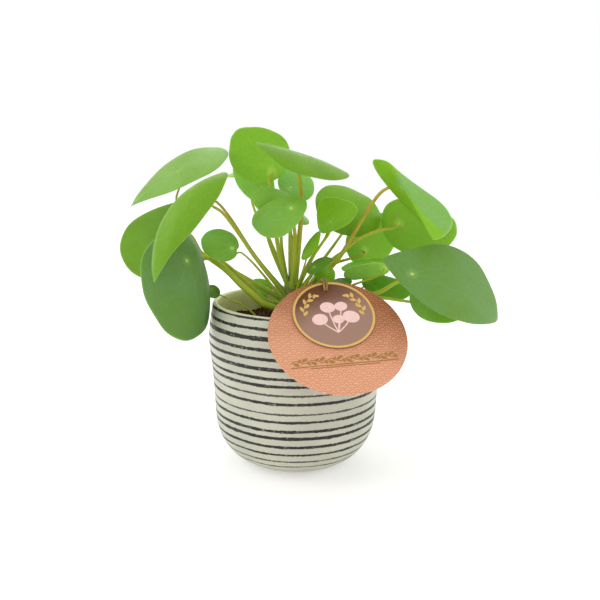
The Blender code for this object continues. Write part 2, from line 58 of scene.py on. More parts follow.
# Pot, as its solid: (radius, height) of the outer wall from foot to lip
POT_HEIGHT = 126.0
POT_WALL = 4.6
POT_FLOOR = 8.0
POT_PROFILE = (
    (30.0, 0.0), (39.0, 2.0), (47.0, 6.6), (53.6, 13.2), (59.1, 22.6), (62.2, 35.2),
    (63.4, 53.0), (65.0, 75.5), (67.4, 98.0), (66.4, 112.0), (64.6, 122.5),
)
POT_FOOT = (                   # (radius, height) of the hollow underside and its standing ring
    (0.0, 0.9), (23.0, 0.9), (26.0, 0.7), (27.4, 0.0), (30.0, 0.0), (32.4, 0.35), (36.2, 1.2),
)
POT_RINGS = (                  # (height, width, strength) of the painted rings, lip to foot
    (124.4, 1.7, 1.0), (117.5, 2.1, 1.0), (110.7, 3.2, 1.0), (102.9, 2.5, 1.0), (96.2, 2.4, 1.0),
    (89.2, 2.8, 1.0), (82.2, 2.1, 1.0), (76.6, 2.2, 1.0), (69.9, 1.5, 0.9), (63.5, 2.2, 1.0),
    (55.7, 1.4, 0.9), (49.7, 2.1, 1.0), (42.7, 2.2, 1.0), (37.2, 2.5, 1.0), (30.2, 2.3, 1.0),
    (23.6, 1.8, 1.0), (17.2, 1.4, 0.9), (11.7, 1.3, 0.85), (6.8, 0.9, 0.4),
)
UNPAINTED = 9                  # a distance to the nearest ring at which nothing is painted

# Soil and stem
SOIL_TOP = 110.0
SOIL_RADIUS = 61.0
SOIL_FLOOR = 8.6
STEM_X = -4.0
STEM_PROFILE = (               # (radius, height)
    (6.0, 96.0), (6.0, 111.0), (5.7, 114.0), (5.4, 118.0), (5.0, 127.0), (4.6, 136.0),
    (3.6, 139.4), (2.4, 140.8),
)
STEM_TOP = 142.0
STALK_ROOT_SETBACK = 3.0
STALK_STEP = 2.2               # distance between the points of a stalk's route
STALK_SINK = 0.65              # how far a stalk's end lies under the blade's middle surface
ROOT_FLARE = 3.0               # length over which a stalk widens at its root, and at its end
END_FLARE = 2.2
JOINT_SWELL = 0.55             # height of the swelling under each stalk, its width and its depth
JOINT_WIDTH = 2.4
JOINT_DEPTH = 1.5
OFFSET_FOOT = (-30.0, -2.0, 96.0)

# What is strewn on the soil: its form, its least and largest size, and how it tilts and wears
CRUMB = dict(kind="GeometryNodeMeshIcoSphere", form={"Radius": 1.0, "Subdivisions": 2},
             low=(0.35, 0.35, 0.30), high=(1.25, 1.10, 0.85), tilt=3.14, grain=700.0, wear=1.3)
FIBRE = dict(kind="GeometryNodeMeshCone", low=(0.5, 0.5, 0.4), high=(1.1, 1.1, 1.3), tilt=0.35,
             grain=120.0, wear=4.0, form={"Vertices": 5, "Side Segments": 3, "Radius Top": 0.10,
                                          "Radius Bottom": 0.14, "Depth": 7.0})

# Round tag leaning on the lip, and its twine
CARD_RADIUS = 48.2
CARD_THICKNESS = 0.8
DISC_RADIUS = 29.0
DISC_THICKNESS = 0.8
DISC_PLACE = (-0.5, 17.8)      # the small card's centre from the large card's, right and up
DISC_OFF = 1.1                 # its middle's height over the large card's middle
DISC_FACE = DISC_OFF + DISC_THICKNESS / 2
SPRAY_RADIUS = 21.2
TAG_CENTRE = (28.8, -72.2, 116.5)
TAG_FACING = (0.097, -0.62, 0.779)
TAG_HOLE = (-3.5, 40.2)
TAG_HOLE_RADIUS = 2.4
TWINE_TIE_HEIGHT = 111.8
TWINE_TIE_RADIUS = 7.9
TWINE_TIE_ANGLES = (-141, -180, -215, -250, -285, -315, -345, -370)
TWINE_HALF = (                 # one strand, from the bight behind the card over its face
    (0.9, -6.2, -3.4), (2.1, -3.6, -3.4), (1.15, -0.6, -1.2), (0.97, -0.4, 0.9),
    (0.97, 0.8, 2.9), (0.97, 3.4, 3.6), (0.97, 6.8, 3.3), (1.1, 10.0, 0.8), (2.4, 10.4, -5.0),
)
PLY_OFF = 0.46                 # a ply's middle from the twine's middle
PLY_RADIUS = 0.50

# Leaf colours, linear: the slot of the record, then upper face warm and cool, and underside
LEAF_COLOURS = {
    "leaf_bright": ((0.22, 0.48, 0.016), (0.27, 0.50, 0.105), (0.23, 0.49, 0.014)),
    "leaf_green": ((0.19, 0.40, 0.014), (0.170, 0.350, 0.090), (0.21, 0.43, 0.020)),
    "leaf_deep": ((0.09, 0.22, 0.008), (0.08, 0.18, 0.024), (0.12, 0.27, 0.010)),
}
DIMPLE_DEPTH = 0.55
DIMPLE_SPREAD = 5.0            # in square millimetres
NICK_WIDTH = 0.16              # in radians round the blade
VEINS = 9.0
BLADE_RINGS = (0.05, 0.11, 0.19, 0.28, 0.38, 0.48, 0.58, 0.68, 0.77, 0.85, 0.915, 0.96, 0.985, 1.0)


def blade(base, tip, width, turn, cup, arch, stem_height, via=(), **more):
    """One leaf, in millimetres and degrees: the midrib's chord, the breadth and the bends.

    turn leans the upper face towards the front, cup bends the halves down, arch lifts the
    midrib, twist turns the tip against the base and via is the stalk's route. The stalk ends
    at socket, a share of the chord, and aside, off the midrib. cool is the tint between the
    warm and the cool green, half makes one half warmer as painted backlight and leaves the
    other half's cool tint as painted sheen, light is the brightness, partly the leaf's own
    tone and partly painted light and shade, eye the paleness of the spot over the stalk,
    blush the redness of the stalk and notch the nick in the outline's base.
    """
    leaf = dict(crease=0.0, egg=0.1, socket=0.3, aside=0.0, skew=0.0, twist=0.0, point=0.0,
                stalk=1.5, cool=0.4, half=0.0, light=1.0, eye=0.2, blush=0.3, notch=0.0,
                slot="leaf_green")
    leaf.update(base=base, tip=tip, width=width, turn=turn, cup=cup, arch=arch,
                stem_height=stem_height, via=via)
    leaf.update(more)
    return leaf


# light sets each leaf's brightness: partly its own tone, partly painted light and shade set leaf by leaf
LEAVES = {
    "blade_left_high": blade(
        (-55, 18, 238.5), (-126, 2.5, 196), 56, 18, 8, 6, 130,
        ((-31.5, 7, 158), (-53.5, 7, 191), (-65, 9, 201.5), (-79, 11, 200), (-92, 13, 198)),
        egg=0.7, socket=0.48, point=0.5, stalk=1.15, slot="leaf_bright", cool=0.85, blush=0.8,
        light=0.78),
    "blade_left_hanging": blade(
        (-50.5, -38.5, 224.5), (-96, -73, 152.5), 53, -5, 75, 18.5, 127,
        ((-31.5, -8, 160), (-45, -12, 180.5), (-55, -17, 194.5), (-60.5, -20, 198.5)),
        crease=0.1, egg=-0.17, socket=0.26, point=0.66, stalk=1.25, slot="leaf_bright",
        cool=0.1, blush=0.5, light=0.7),
    "blade_left_rear": blade(
        (-89.5, 35, 198.5), (-130, 25, 140.5), 48.5, 54, 4, 7.5, 123,
        ((-23.5, 1, 125.5), (-31, 1, 131.5), (-40.5, 2, 140), (-50.5, 4, 149), (-58.5, 8, 154),
         (-73, 14, 158), (-83, 17, 173)),
        egg=-0.55, twist=-14, point=-0.59, stalk=1.8, cool=0.15, light=0.8),
    "blade_left_low": blade(
        (-90, -30.5, 181.5), (-75.5, -38, 104), 76.5, 8, 54, 11.5, 118,
        ((-25, -9, 124.5), (-32.5, -9, 131), (-42, -8, 139), (-51.5, -6, 148),
         (-61.5, -3, 155), (-70, 1, 158), (-79, -9, 152.5)), egg=0.24, socket=0.28, stalk=2.3,
        cool=1, blush=0.1, light=0.75, eye=1),
    "blade_left_small": blade(
        (-44, -6.5, 164.5), (-71.5, -9, 173.5), 28.5, 49, 11, 2.3, 121,
        ((-26, -5, 147), (-42, -4, 163)), egg=0.11, socket=0.19, stalk=1, cool=0.6, notch=1.6,
        light=1.2, eye=0.6),
    "blade_top_round": blade(
        (-17, 18.5, 216.5), (-46, 5.5, 253.5), 50, -49, 12, 6.4, 136,
        ((-15, 4, 168), (-17, 8, 190)), egg=0.22, socket=0.12, point=0.27, stalk=1.6,
        slot="leaf_bright", cool=0.3, light=1.1),
    "blade_top_level": blade(
        (-30.5, -24.5, 244.5), (37, -17.5, 223), 54.5, 14, 33, 2.6, 139,
        ((1.5, -4, 174.5), (3, -1, 201.5)), crease=0.2, egg=0.2, socket=0.47, point=-0.6,
        stalk=1.9, slot="leaf_bright", cool=0, blush=0.7, light=0.65),
    "blade_centre_upper": blade(
        (1, -4, 196), (-33.5, -12, 205), 30, 45, 15, 2, 138, ((-3, -5, 169.5),), egg=0, stalk=1.6,
        slot="leaf_bright", cool=0.6, light=1),
    "blade_centre_lower": blade(
        (6, -24.5, 204.5), (-30.5, -33.5, 184.5), 32, 44, 19, 1, 136, ((-1.5, -9, 173),),
        egg=-0.37, socket=0.29, point=-0.14, stalk=1.7, cool=0.6, blush=0.5, light=1.2, eye=0.5),
    "blade_centre_rear": blade(
        (-12, 20, 206), (9, 30, 219), 32, 50, 15, 2, 137, ((-5.5, 9, 170),), egg=0, stalk=1.6,
        cool=0.9, light=1.4),
    "blade_crown_pale": blade(
        (-24, 42.5, 224), (-46, 39.5, 207.5), 50.5, -64, 15, 3, 134, ((-23, 20, 171),), egg=0,
        socket=0.4, stalk=1.3, slot="leaf_bright", cool=1, light=1.3),
    "blade_inner_right_rear": blade(
        (13.5, 15.5, 199), (65.5, 28.5, 188), 51.5, 46, 21, 3.4, 132,
        ((9, 1, 155), (16, 4, 165.5), (22, 8, 174.5)), egg=0.16, stalk=1.2, slot="leaf_bright",
        cool=0, light=0.75),
    "blade_inner_right_cupped": blade(
        (15, -3, 185.5), (44, -9, 197.5), 38, 43, -45, -3, 131, ((9.5, -5, 155), (15, -5, 166)),
        egg=0.75, stalk=1.2, cool=0, light=1.2),
    "blade_sprout_slim": blade(
        (3.5, -14, 160), (17, -16, 181.5), 14, 40, 30, 1, 128, crease=0.3, egg=0, socket=0.15,
        point=0.3, stalk=0.9, cool=0, light=1.2),
    "blade_right_folded": blade(
        (61, -6, 240), (98, -34, 175.5), 37, 74, 75, -6.5, 128,
        ((29, 3, 155), (47.5, 0, 186.5), (56.5, 3, 201), (63.5, 7.5, 209), (71.5, 11, 213)),
        crease=0.95, egg=-0.6, socket=0.36, skew=17, twist=74, point=-0.24, stalk=1.7, cool=1,
        blush=0.9, light=1.2, half=0.9),
    "blade_right_turned": blade(
        (66, 27, 189), (123, 12, 177), 53, -61, 9, -4.8, 125, ((42, 3, 170), (61, 5, 179.5)),
        egg=0.18, socket=0.25, slot="leaf_bright", cool=0.3, blush=0.8, light=1),
    "blade_right_leaning": blade(
        (42, 36, 154), (78, 46, 182), 48, -75, 15, 3, 122, ((28, 22, 150), (41, 29, 154)),
        socket=0.28, aside=4.7, stalk=1.4, slot="leaf_bright", cool=0.3, light=1.05),
    "blade_right_broad": blade(
        (62, -31, 163.5), (145.5, -39.5, 126), 71.5, 35, -7, 7.5, 119,
        ((59, -15, 135), (74, -26, 146)), egg=-0.63, socket=0.25, aside=-6.2, twist=-32,
        point=-0.54, stalk=1.9, cool=0.85, blush=0.1, light=0.75, eye=1),
    "blade_right_under": blade(
        (86.5, -4, 132.5), (130.5, -25.5, 129.5), 43, 42, 20, 1.4, 115,
        ((57, -6, 129.5), (86, -6, 127)), egg=0.06, point=-0.2, cool=0.5, blush=0.1, light=1.35),
    "blade_right_shaded": blade(
        (51.5, 22, 138.5), (90, 14, 129.5), 27, 30, 20, 2, 117, socket=0.1, stalk=1.1,
        slot="leaf_deep", light=1.75),
    "blade_right_level": blade(
        (70, 22, 153), (35, 26, 147), 24, 12, 20, 2, 123, stalk=1.1, light=1.75),
    "blade_right_tucked": blade(
        (72, 6, 151), (36, 10, 144), 24, -40, 15, 2, 118, ((42, 0, 138),), egg=0, socket=0.12,
        stalk=1.1, slot="leaf_bright", light=1.75, cool=0.9),
    "blade_sprout_flat": blade(
        (26, 0, 140), (42, -4, 141), 18, 16, 15, 1, 118, egg=0, stalk=0.9, slot="leaf_deep"),
    "blade_sprout_dark": blade(
        (7.5, -17, 151), (27, -21, 161.5), 14, 40, 20, 2, 126, egg=0, point=0.4, stalk=0.9,
        slot="leaf_deep", light=1.3),
    "blade_sprout_round": blade(
        (27, -4, 152), (15, -8, 143), 18, 50, 20, 2, 124, egg=0, stalk=0.9, cool=0, light=1.1),
    "blade_pot_rear": blade(
        (-20, 30, 128), (-39, 32, 132), 16, 50, 15, 1, 116, ((-17, 25, 117), (-25, 35, 122)),
        egg=0, stalk=0.9, light=1.4),
    "blade_back_high": blade(
        (-25, 62, 222), (-57, 78, 218), 45, 8, 15, 2, 135, ((-22, 30, 168), (-38, 62, 196)),
        stalk=1.4, slot="leaf_bright", cool=0.3),
    "blade_back_left": blade(
        (-88, 60, 175), (-134, 72, 150), 46, 35, 25, 4, 124, ((-45, 20, 142),), stalk=1.6,
        cool=0.5),
    "blade_back_inner_right": blade(
        (31, 56, 187), (69, 80, 170), 44, -30, 20, 3, 127, cool=0.3),
    "blade_back_right": blade(
        (83, 44, 182), (127, 70, 168), 46, -30, 20, 3, 121, ((30, 46, 152), (72, 58, 170)),
        stalk=1.6, cool=0.7),
    "blade_back_centre": blade(
        (-6, 48, 181), (-9, 80, 191), 38, -20, 20, 3, 129, ((-12.5, 14, 169),), stalk=1.4,
        cool=0.2),
}
OFFSET_LEAF = blade(
    (-68.5, 1, 136), (-60, -3, 128.5), 10.5, 45, 15, 1, 0,
    ((-30, -2, 103), (-30, -2, 111.5), (-41, -1, 121.5), (-52, 1, 126)), egg=0, stalk=0.9,
    cool=0.6, light=0.6)


# Settings

def rgb(label, note, *parts):
    """A setting that holds a linear colour."""
    return FloatVectorProperty(name=label, description=note, subtype="COLOR", size=3, min=0.0,
                               max=1.0, default=parts)


def number(label, note, low, high, usual, **kind):
    return FloatProperty(name=label, description=note, min=low, max=high, default=usual, **kind)


def metres(label, note, low, high, usual):
    return number(label, note, low, high, usual, unit="LENGTH")


def whole(label, note, low, high, usual):
    return IntProperty(name=label, description=note, min=low, max=high, default=usual)


class PotSettings(bpy.types.PropertyGroup):
    """Sizes and colours of the pot."""
    glaze: rgb("Glaze", "Colour of the glazed wall", 0.52, 0.52, 0.415)
    ring_paint: rgb("Ring paint", "Colour of the hand-drawn rings", 0.018, 0.017, 0.014)
    sides: whole("Sides", "Sides of the turned wall", 32, 360, 176)
    ring_wander: metres("Ring wander", "How far a ring strays up and down", 0.0, 0.003, 0.0007)
    unevenness: metres("Unevenness", "How far the wall strays in and out", 0.0, 0.002, 0.0005)


class SoilSettings(bpy.types.PropertyGroup):
    """Sizes and colours of the potting soil."""
    colour: rgb("Soil", "Colour of the moist compost", 0.095, 0.030, 0.008)
    crumb_size: metres("Crumb size", "Radius of a usual crumb", 0.0002, 0.004, 0.0011)
    crumb_density: number("Crumb density", "Crumbs to a square metre", 0.0, 400000.0, 190000.0)
    fibre_density: number("Fibre density", "Fibres to a square metre", 0.0, 50000.0, 11000.0)


class LeafSettings(bpy.types.PropertyGroup):
    """Sizes and colours of the leaves and their stalks."""
    thickness: metres("Thickness", "Thickness of a blade", 0.0003, 0.0015, 0.0007)
    ripple: metres("Ripple", "Height of the waves along a blade's edge", 0.0, 0.002, 0.0005)
    sectors: whole("Sectors", "Points round a blade's edge", 24, 160, 72)
    stalk_green: rgb("Stalk", "Colour of a stalk", 0.38, 0.50, 0.028)
    stalk_blush: rgb("Stalk blush", "Colour of a stalk's sunny side", 0.42, 0.28, 0.030)
    stalk_sides: whole("Stalk sides", "Sides of a round stalk", 6, 32, 12)


class TagSettings(bpy.types.PropertyGroup):
    """Colours of the round tag and its twine."""
    card: rgb("Card", "Colour of the large card's lower part", 0.62, 0.27, 0.140)
    # painted reflection and shade: the dark colour painted over the large card's upper right
    card_painted_shade: rgb("Card shade", "Colour of the large card's upper part", 0.27, 0.078, 0.014)
    disc: rgb("Small card", "Colour of the small card", 0.32, 0.185, 0.135)
    # painted shade: the dark colour painted over the small card's upper left
    disc_painted_shade: rgb("Small card shade", "Colour of the small card's top", 0.11, 0.030, 0.006)
    foil: rgb("Foil", "Colour of the stamped foil", 0.72, 0.46, 0.13)
    print_pink: rgb("Print", "Colour of the printed sprig", 0.83, 0.55, 0.50)
    scallop: number("Scallop", "Radius of a scallop in the card's pattern", 0.5, 6.0, 3.2)
    twine: rgb("Twine", "Colour of the jute twine", 0.38, 0.23, 0.065)
    twine_pitch: metres("Twine pitch", "Length of one full twist", 0.001, 0.02, 0.0046)
    hair_density: number("Hair density", "Loose hairs to a square metre of twine", 0.0,
                         1000000.0, 170000.0)


class StageSettings(bpy.types.PropertyGroup):
    """Floor, light and camera."""
    lens: number("Lens", "Focal length on a 36 mm sensor, in millimetres", 20.0, 200.0, 48.39)
    distance: metres("Distance", "Camera's distance from the plant's middle", 0.2, 3.0, 0.620)
    tilt: number("Tilt", "How far the camera looks down", 0.0, pi / 2, radians(11.74),
                 subtype="ANGLE")
    roll: number("Roll", "Camera's turn about its own view", -0.5, 0.5, radians(0.621),
                 subtype="ANGLE")
    key: number("Key light", "Power of the light at the left", 0.0, 200.0, 9.0, unit="POWER")
    fill: number("Fill light", "Power of the light at the right", 0.0, 200.0, 3.5, unit="POWER")
    surround: number("Surround", "Brightness of the white surround", 0.0, 5.0, 1.0)


# Making meshes

def link(name, data):
    """A new object of a mesh, a light or a camera, in the scene."""
    thing = bpy.data.objects.new(name, data)
    bpy.context.scene.collection.objects.link(thing)
    return thing


def make_piece(name, points, faces, material=None, marks=None, edges=()):
    """A mesh in metres from points in millimetres, with named values on its points."""
    mesh = bpy.data.meshes.new(name)
    mesh.from_pydata([tuple(point * MM) for point in points], edges, faces)
    for mark, values in (marks or {}).items():
        if isinstance(values[0], tuple):
            layer = mesh.attributes.new(mark, "FLOAT_VECTOR", "POINT")
            layer.data.foreach_set("vector", [part for value in values for part in value])
        else:
            mesh.attributes.new(mark, "FLOAT", "POINT").data.foreach_set("value", values)
    if material:
        mesh.materials.append(material)
        mesh.shade_smooth()
    return link(name, mesh)


def line_piece(name, routes, marks=None):
    """A mesh of bare lines along routes of points, each open or closed."""
    points = []
    edges = []
    for route, closed in routes:
        first = len(points)
        points += route
        edges += [(first + k, first + k + 1) for k in range(len(route) - 1)]
        if closed:
            edges.append((first + len(route) - 1, first))
    return make_piece(name, points, [], None, marks, edges)


def settle(piece, slot, *nodes):
    """Parents a finished piece to the plant's body and hides the solids that it stands for."""
    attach(piece, PLANT)
    if nodes:
        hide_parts(*nodes)


def ring_faces(first, rings, count, last=None):
    """Faces from a first point over rings, each given by its start, to a last point."""
    faces = []
    for k in range(count):
        after = (k + 1) % count
        faces.append((first, rings[0] + k, rings[0] + after))
        faces += [(low + k, high + k, high + after, low + after)
                  for low, high in zip(rings, rings[1:])]
        if last is not None:
            faces.append((rings[-1] + after, rings[-1] + k, last))
    return faces


def curve_between(start, leave, end, arrive, t):
    """A point or value at t on the smooth curve from start to end, with its two slopes."""
    return (start * (2 * t**3 - 3 * t**2 + 1) + leave * (t**3 - 2 * t**2 + t)
            + end * (3 * t**2 - 2 * t**3) + arrive * (t**3 - t**2))


def profile_part(profile, height):
    """Which part of a profile a height lies in."""
    index = 0
    while index < len(profile) - 2 and height > profile[index + 1][1]:
        index += 1
    return index


# Node trees

class Wire:
    """A node's output in a formula: arithmetic on it adds a Math node."""

    def __init__(self, tree, socket):
        self.tree = tree
        self.socket = socket

    def __add__(self, other):
        return self.tree.math("ADD", self, other)

    def __sub__(self, other):
        return self.tree.math("SUBTRACT", self, other)

    def __rsub__(self, other):
        return self.tree.math("SUBTRACT", other, self)

    def __mul__(self, other):
        return self.tree.math("MULTIPLY", self, other)


class NodeTree:
    """A short way to write a tree of nodes: each call adds a node and joins its inputs."""

    def __init__(self, tree):
        self.tree = tree

    def node(self, kind, inputs=None, **settings):
        node = self.tree.nodes.new(kind)
        for setting, value in settings.items():
            setattr(node, setting, value)
        for socket, value in (inputs or {}).items():
            self.put(node.inputs[socket], value)
        return node

    def add(self, kind, inputs=None, output=0, **settings):
        return Wire(self, self.node(kind, inputs, **settings).outputs[output])

    def put(self, socket, value):
        if isinstance(value, Wire):
            self.tree.links.new(value.socket, socket)
        elif socket.type == "RGBA" and len(value) == 3:
            socket.default_value = (*value, 1.0)
        else:
            socket.default_value = value

    def math(self, operation, first, second=0.0):
        return self.add("ShaderNodeMath", {0: first, 1: second}, operation=operation)

    def vector(self, operation, first, second=(0.0, 0.0, 0.0)):
        return self.add("ShaderNodeVectorMath", {0: first, 1: second}, operation=operation)

    def length(self, vector):
        return self.add("ShaderNodeVectorMath", {0: vector}, "Value", operation="LENGTH")

    def scale(self, vector, amount):
        return self.add("ShaderNodeVectorMath", {0: vector, "Scale": amount}, operation="SCALE")

    def noise(self, scale, detail=3.0, roughness=0.55, stretch=None):
        place = self.vector("MULTIPLY", self.place, stretch) if stretch else self.place
        return self.add("ShaderNodeTexNoise", {
            "Vector": place, "Scale": scale, "Detail": detail, "Roughness": roughness}, "Fac")

    def fade(self, value, start, end, low=0.0, high=1.0):
        """low at the start of the range, high at its end, smooth between and held outside."""
        return self.add("ShaderNodeMapRange", {
            "Value": value, "From Min": start, "From Max": end, "To Min": low, "To Max": high},
            interpolation_type="SMOOTHSTEP")

    def blend(self, share, under, over):
        return self.add("ShaderNodeMix", {0: share, 6: under, 7: over}, 2, data_type="RGBA")

    def coats(self, colour, *coats):
        """Blends coats over a colour, each given as (share, colour)."""
        for share, over in coats:
            colour = self.blend(share, colour, over)
        return colour

    def mark(self, name, output="Fac"):
        return self.add("ShaderNodeAttribute", output=output, attribute_name=name)

    def parts(self, vector):
        return [Wire(self, part) for part in self.node("ShaderNodeSeparateXYZ", {0: vector}).outputs]

    def bump(self, height, strength, depth_mm, before=None):
        given = {"Height": height, "Strength": strength, "Distance": depth_mm * MM}
        if before:
            given["Normal"] = before
        return self.add("ShaderNodeBump", given)


class Finish(NodeTree):
    """A new material's tree, with the place on the object."""

    def __init__(self, name):
        self.material = bpy.data.materials.new(name)
        self.material.use_nodes = True
        super().__init__(self.material.node_tree)
        self.place = self.add("ShaderNodeTexCoord", output="Object")

    def end(self, inputs):
        """Joins the shader's inputs and gives the finished material."""
        for socket, value in inputs.items():
            self.put(self.tree.nodes["Principled BSDF"].inputs[socket], value)
        return self.material


class Shape(NodeTree):
    """A new Geometry Nodes tree with a mesh going in and out and named sizes."""

    def __init__(self, name, sizes):
        super().__init__(bpy.data.node_groups.new(name, "GeometryNodeTree"))
        sockets = [("Geometry", "INPUT", "Geometry")]
        sockets += [(size, "INPUT", kind) for size, kind in sizes.items()]
        for socket, way, kind in [*sockets, ("Geometry", "OUTPUT", "Geometry")]:
            self.tree.interface.new_socket(socket, in_out=way, socket_type="NodeSocket" + kind)
        self.given = {socket.name: Wire(self, socket)
                      for socket in self.node("NodeGroupInput").outputs}

    def value(self, name):
        """A value that the mesh's points bring with them."""
        return self.add("GeometryNodeInputNamedAttribute", {"Name": name}, "Attribute",
                        data_type="FLOAT")

    def chance(self, low, high, seed):
        return self.add("FunctionNodeRandomValue", {0: low, 1: high, "Seed": seed},
                        data_type="FLOAT_VECTOR")

    def end(self, geometry, material):
        """Ends the tree in plain smooth faces with their material."""
        real = self.add("GeometryNodeRealizeInstances", {"Geometry": geometry})
        smooth = self.add("GeometryNodeSetShadeSmooth", {"Geometry": real})
        finish = self.add("GeometryNodeSetMaterial", {"Geometry": smooth, "Material": material})
        self.node("NodeGroupOutput", {0: finish})
        return self


def grow(piece, shape, sizes):
    """Runs a tree on a piece with these sizes and keeps the result as its plain mesh."""
    modifier = piece.modifiers.new("shape", "NODES")
    modifier.node_group = shape.tree
    for item in shape.tree.interface.items_tree:
        if item.in_out == "INPUT" and item.name in sizes:
            modifier[item.identifier] = sizes[item.name]
    depsgraph = bpy.context.evaluated_depsgraph_get()
    mesh = bpy.data.meshes.new_from_object(piece.evaluated_get(depsgraph))
    mesh.name = piece.name
    piece.modifiers.clear()
    piece.data = mesh
    if not mesh.polygons:
        raise RuntimeError("the tree made no faces for " + piece.name)
    return piece


def bars_along_lines(material):
    """Draws a round bar along every line; each point's thick value is its radius."""
    tree = Shape("round bars along lines", {"Sides": "Int"})
    curve = tree.add("GeometryNodeMeshToCurve", {"Mesh": tree.given["Geometry"]})
    ring = tree.add("GeometryNodeCurvePrimitiveCircle", {
        "Resolution": tree.given["Sides"], "Radius": 1.0})
    bar = tree.add("GeometryNodeCurveToMesh", {
        "Curve": curve, "Profile Curve": ring, "Fill Caps": True, "Scale": tree.value("thick")})
    return tree.end(bar, material)


def shade(colour, by):
    """A colour made darker or paler."""
    return tuple(part * by for part in colour)


# Pot

def outer_radius(height):
    """The pot's outside radius at a height, on a smooth curve through its profile."""
    points = POT_PROFILE
    index = profile_part(points, height)
    (start, low), (end, high) = points[index:index + 2]
    span = high - low
    slopes = []
    for middle in (index, index + 1):
        before = points[max(middle - 1, 0)]
        after = points[min(middle + 1, len(points) - 1)]
        slopes.append((after[0] - before[0]) / (after[1] - before[1]))
    return curve_between(start, slopes[0] * span, end, slopes[1] * span, (height - low) / span)


def pot_outline():
    """The pot's section from the foot's middle up, over the lip and down to the floor's middle.

    Each point is (radius, height, distance to the nearest ring's edge, the ring's strength,
    1 on the inside).
    """
    rows = [(*point, UNPAINTED, 0, 0) for point in POT_FOOT]
    rows.append((outer_radius(2.6), 2.6, 4, 0.3, 0))
    rings = POT_RINGS[::-1]
    for index, (height, width, strength) in enumerate(rings):
        rows.append((outer_radius(height), height, -width / 2, strength, 0))
        if index + 1 < len(rings):
            upper, upper_width, upper_strength = rings[index + 1]
            middle = (height + upper) / 2 + (width - upper_width) / 4
            rows.append((outer_radius(middle), middle, middle - height - width / 2,
                         (strength + upper_strength) / 2, 0))
    lip = POT_PROFILE[-1][0] - POT_WALL / 2
    rows[-1] = (lip + 2.05, rings[-1][0], -rings[-1][1] / 2, 1.0, 0)
    for angle, edge in ((40, 0.3), (62, 1.0), (90, 1.6), (118, 2.5), (145, 3.5), (170, 4.5)):
        rows.append((lip + 2.2 * cos(radians(angle)), POT_HEIGHT - 1.7 + 1.7 * sin(radians(angle)),
                     edge, 1.0, 0.3 if angle < 118 else 1.0))
    inside = [(outer_radius(height) - POT_WALL, height)
              for height in (120, 114, 108, 102, 94, 82, 66, 48, 32, 22)]
    inside += [(50.5, 13.5), (42, 8.6), (34, POT_FLOOR), (0, POT_FLOOR)]
    return rows + [(*point, UNPAINTED, 0, 1) for point in inside]


def turned_wall(material):
    """Turns a section about Z, lets its rings stray up and down and its wall in and out."""
    tree = Shape("turned wall", {
        "Sides": "Int", "Core": "Float", "Ring wander": "Float", "Unevenness": "Float"})
    given = tree.given
    section = tree.add("GeometryNodeMeshToCurve", {"Mesh": given["Geometry"]})
    core = tree.add("GeometryNodeCurvePrimitiveCircle", {
        "Resolution": given["Sides"], "Radius": given["Core"]})
    wall = tree.add("GeometryNodeCurveToMesh", {"Curve": core, "Profile Curve": section})
    closed = tree.add("GeometryNodeMergeByDistance", {"Geometry": wall, "Distance": 0.00002})
    tree.place = tree.add("GeometryNodeInputPosition")
    x, y, z = tree.parts(tree.place)
    around = tree.add("ShaderNodeCombineXYZ", {"X": x, "Y": y})
    lift = (tree.noise(19.0, 2.0) - 0.5) * 2.0 * given["Ring wander"] * tree.value("painted")
    swell = (tree.noise(23.0, 2.0, stretch=(1.0, 1.0, 2.2)) - 0.5) * given["Unevenness"]
    swell = swell * tree.fade(tree.length(around), 0.03, 0.05) * tree.fade(z, 0.004, 0.020)
    out = tree.scale(tree.vector("NORMALIZE", around), swell)
    up = tree.add("ShaderNodeCombineXYZ", {"Z": lift})
    moved = tree.add("GeometryNodeSetPosition", {
        "Geometry": closed, "Offset": tree.vector("ADD", out, up)})
    return tree.end(moved, material)


def glaze_finish(pot):
    """Satin cream glaze over stoneware, brushed rings, a bare foot and an olive inside painted paler
    than the glaze, as painted light.
    """
    tree = Finish("pot_glaze")
    speckle = tree.noise(1400.0, 2.0)
    cloud = tree.noise(38.0, 4.0)
    throwing = tree.noise(1.0, 3.0, stretch=(3.0, 3.0, 230.0))
    # the inside's olive is painted far paler than the outer glaze: painted light standing in for the
    # light that reaches into the pot
    olive = tree.blend(tree.fade(cloud, 0.3, 0.7), (0.93, 0.92, 0.52), (0.80, 0.80, 0.38))
    brush = (tree.noise(620.0, 4.0, 0.75) - 0.5) * 1.9
    edge = tree.mark("ring_edge") + (brush + (tree.noise(75.0, 2.0) - 0.5) * 1.3)
    dry = tree.fade(tree.noise(420.0, 4.0, 0.75), 0.56, 0.68) * 0.55
    paint = tree.fade(edge, 0.16, -0.16) * tree.mark("ring_strength") * (1.0 - dry)
    foot = tree.fade(tree.parts(tree.place)[2], 0.0016, 0.0004)
    clay = tree.blend(speckle, (0.55, 0.47, 0.36), (0.42, 0.35, 0.26))
    pits = tree.bump(tree.noise(900.0, 4.0), 0.22, 0.10, tree.bump(throwing, 0.35, 0.35))
    return tree.end({
        "Base Color": tree.coats(
            pot.glaze, (tree.fade(cloud, 0.35, 0.7), shade(pot.glaze, 0.88)),
            (tree.fade(speckle, 0.62, 0.72) * 0.35, (0.46, 0.42, 0.30)),
            (tree.mark("inside"), olive), (paint, pot.ring_paint), (foot, clay)),
        "Roughness": cloud * 0.16 + 0.40 + foot * 0.35,
        "Specular IOR Level": 0.32,
        "Normal": tree.bump(paint, 0.5, 0.06, pits)})


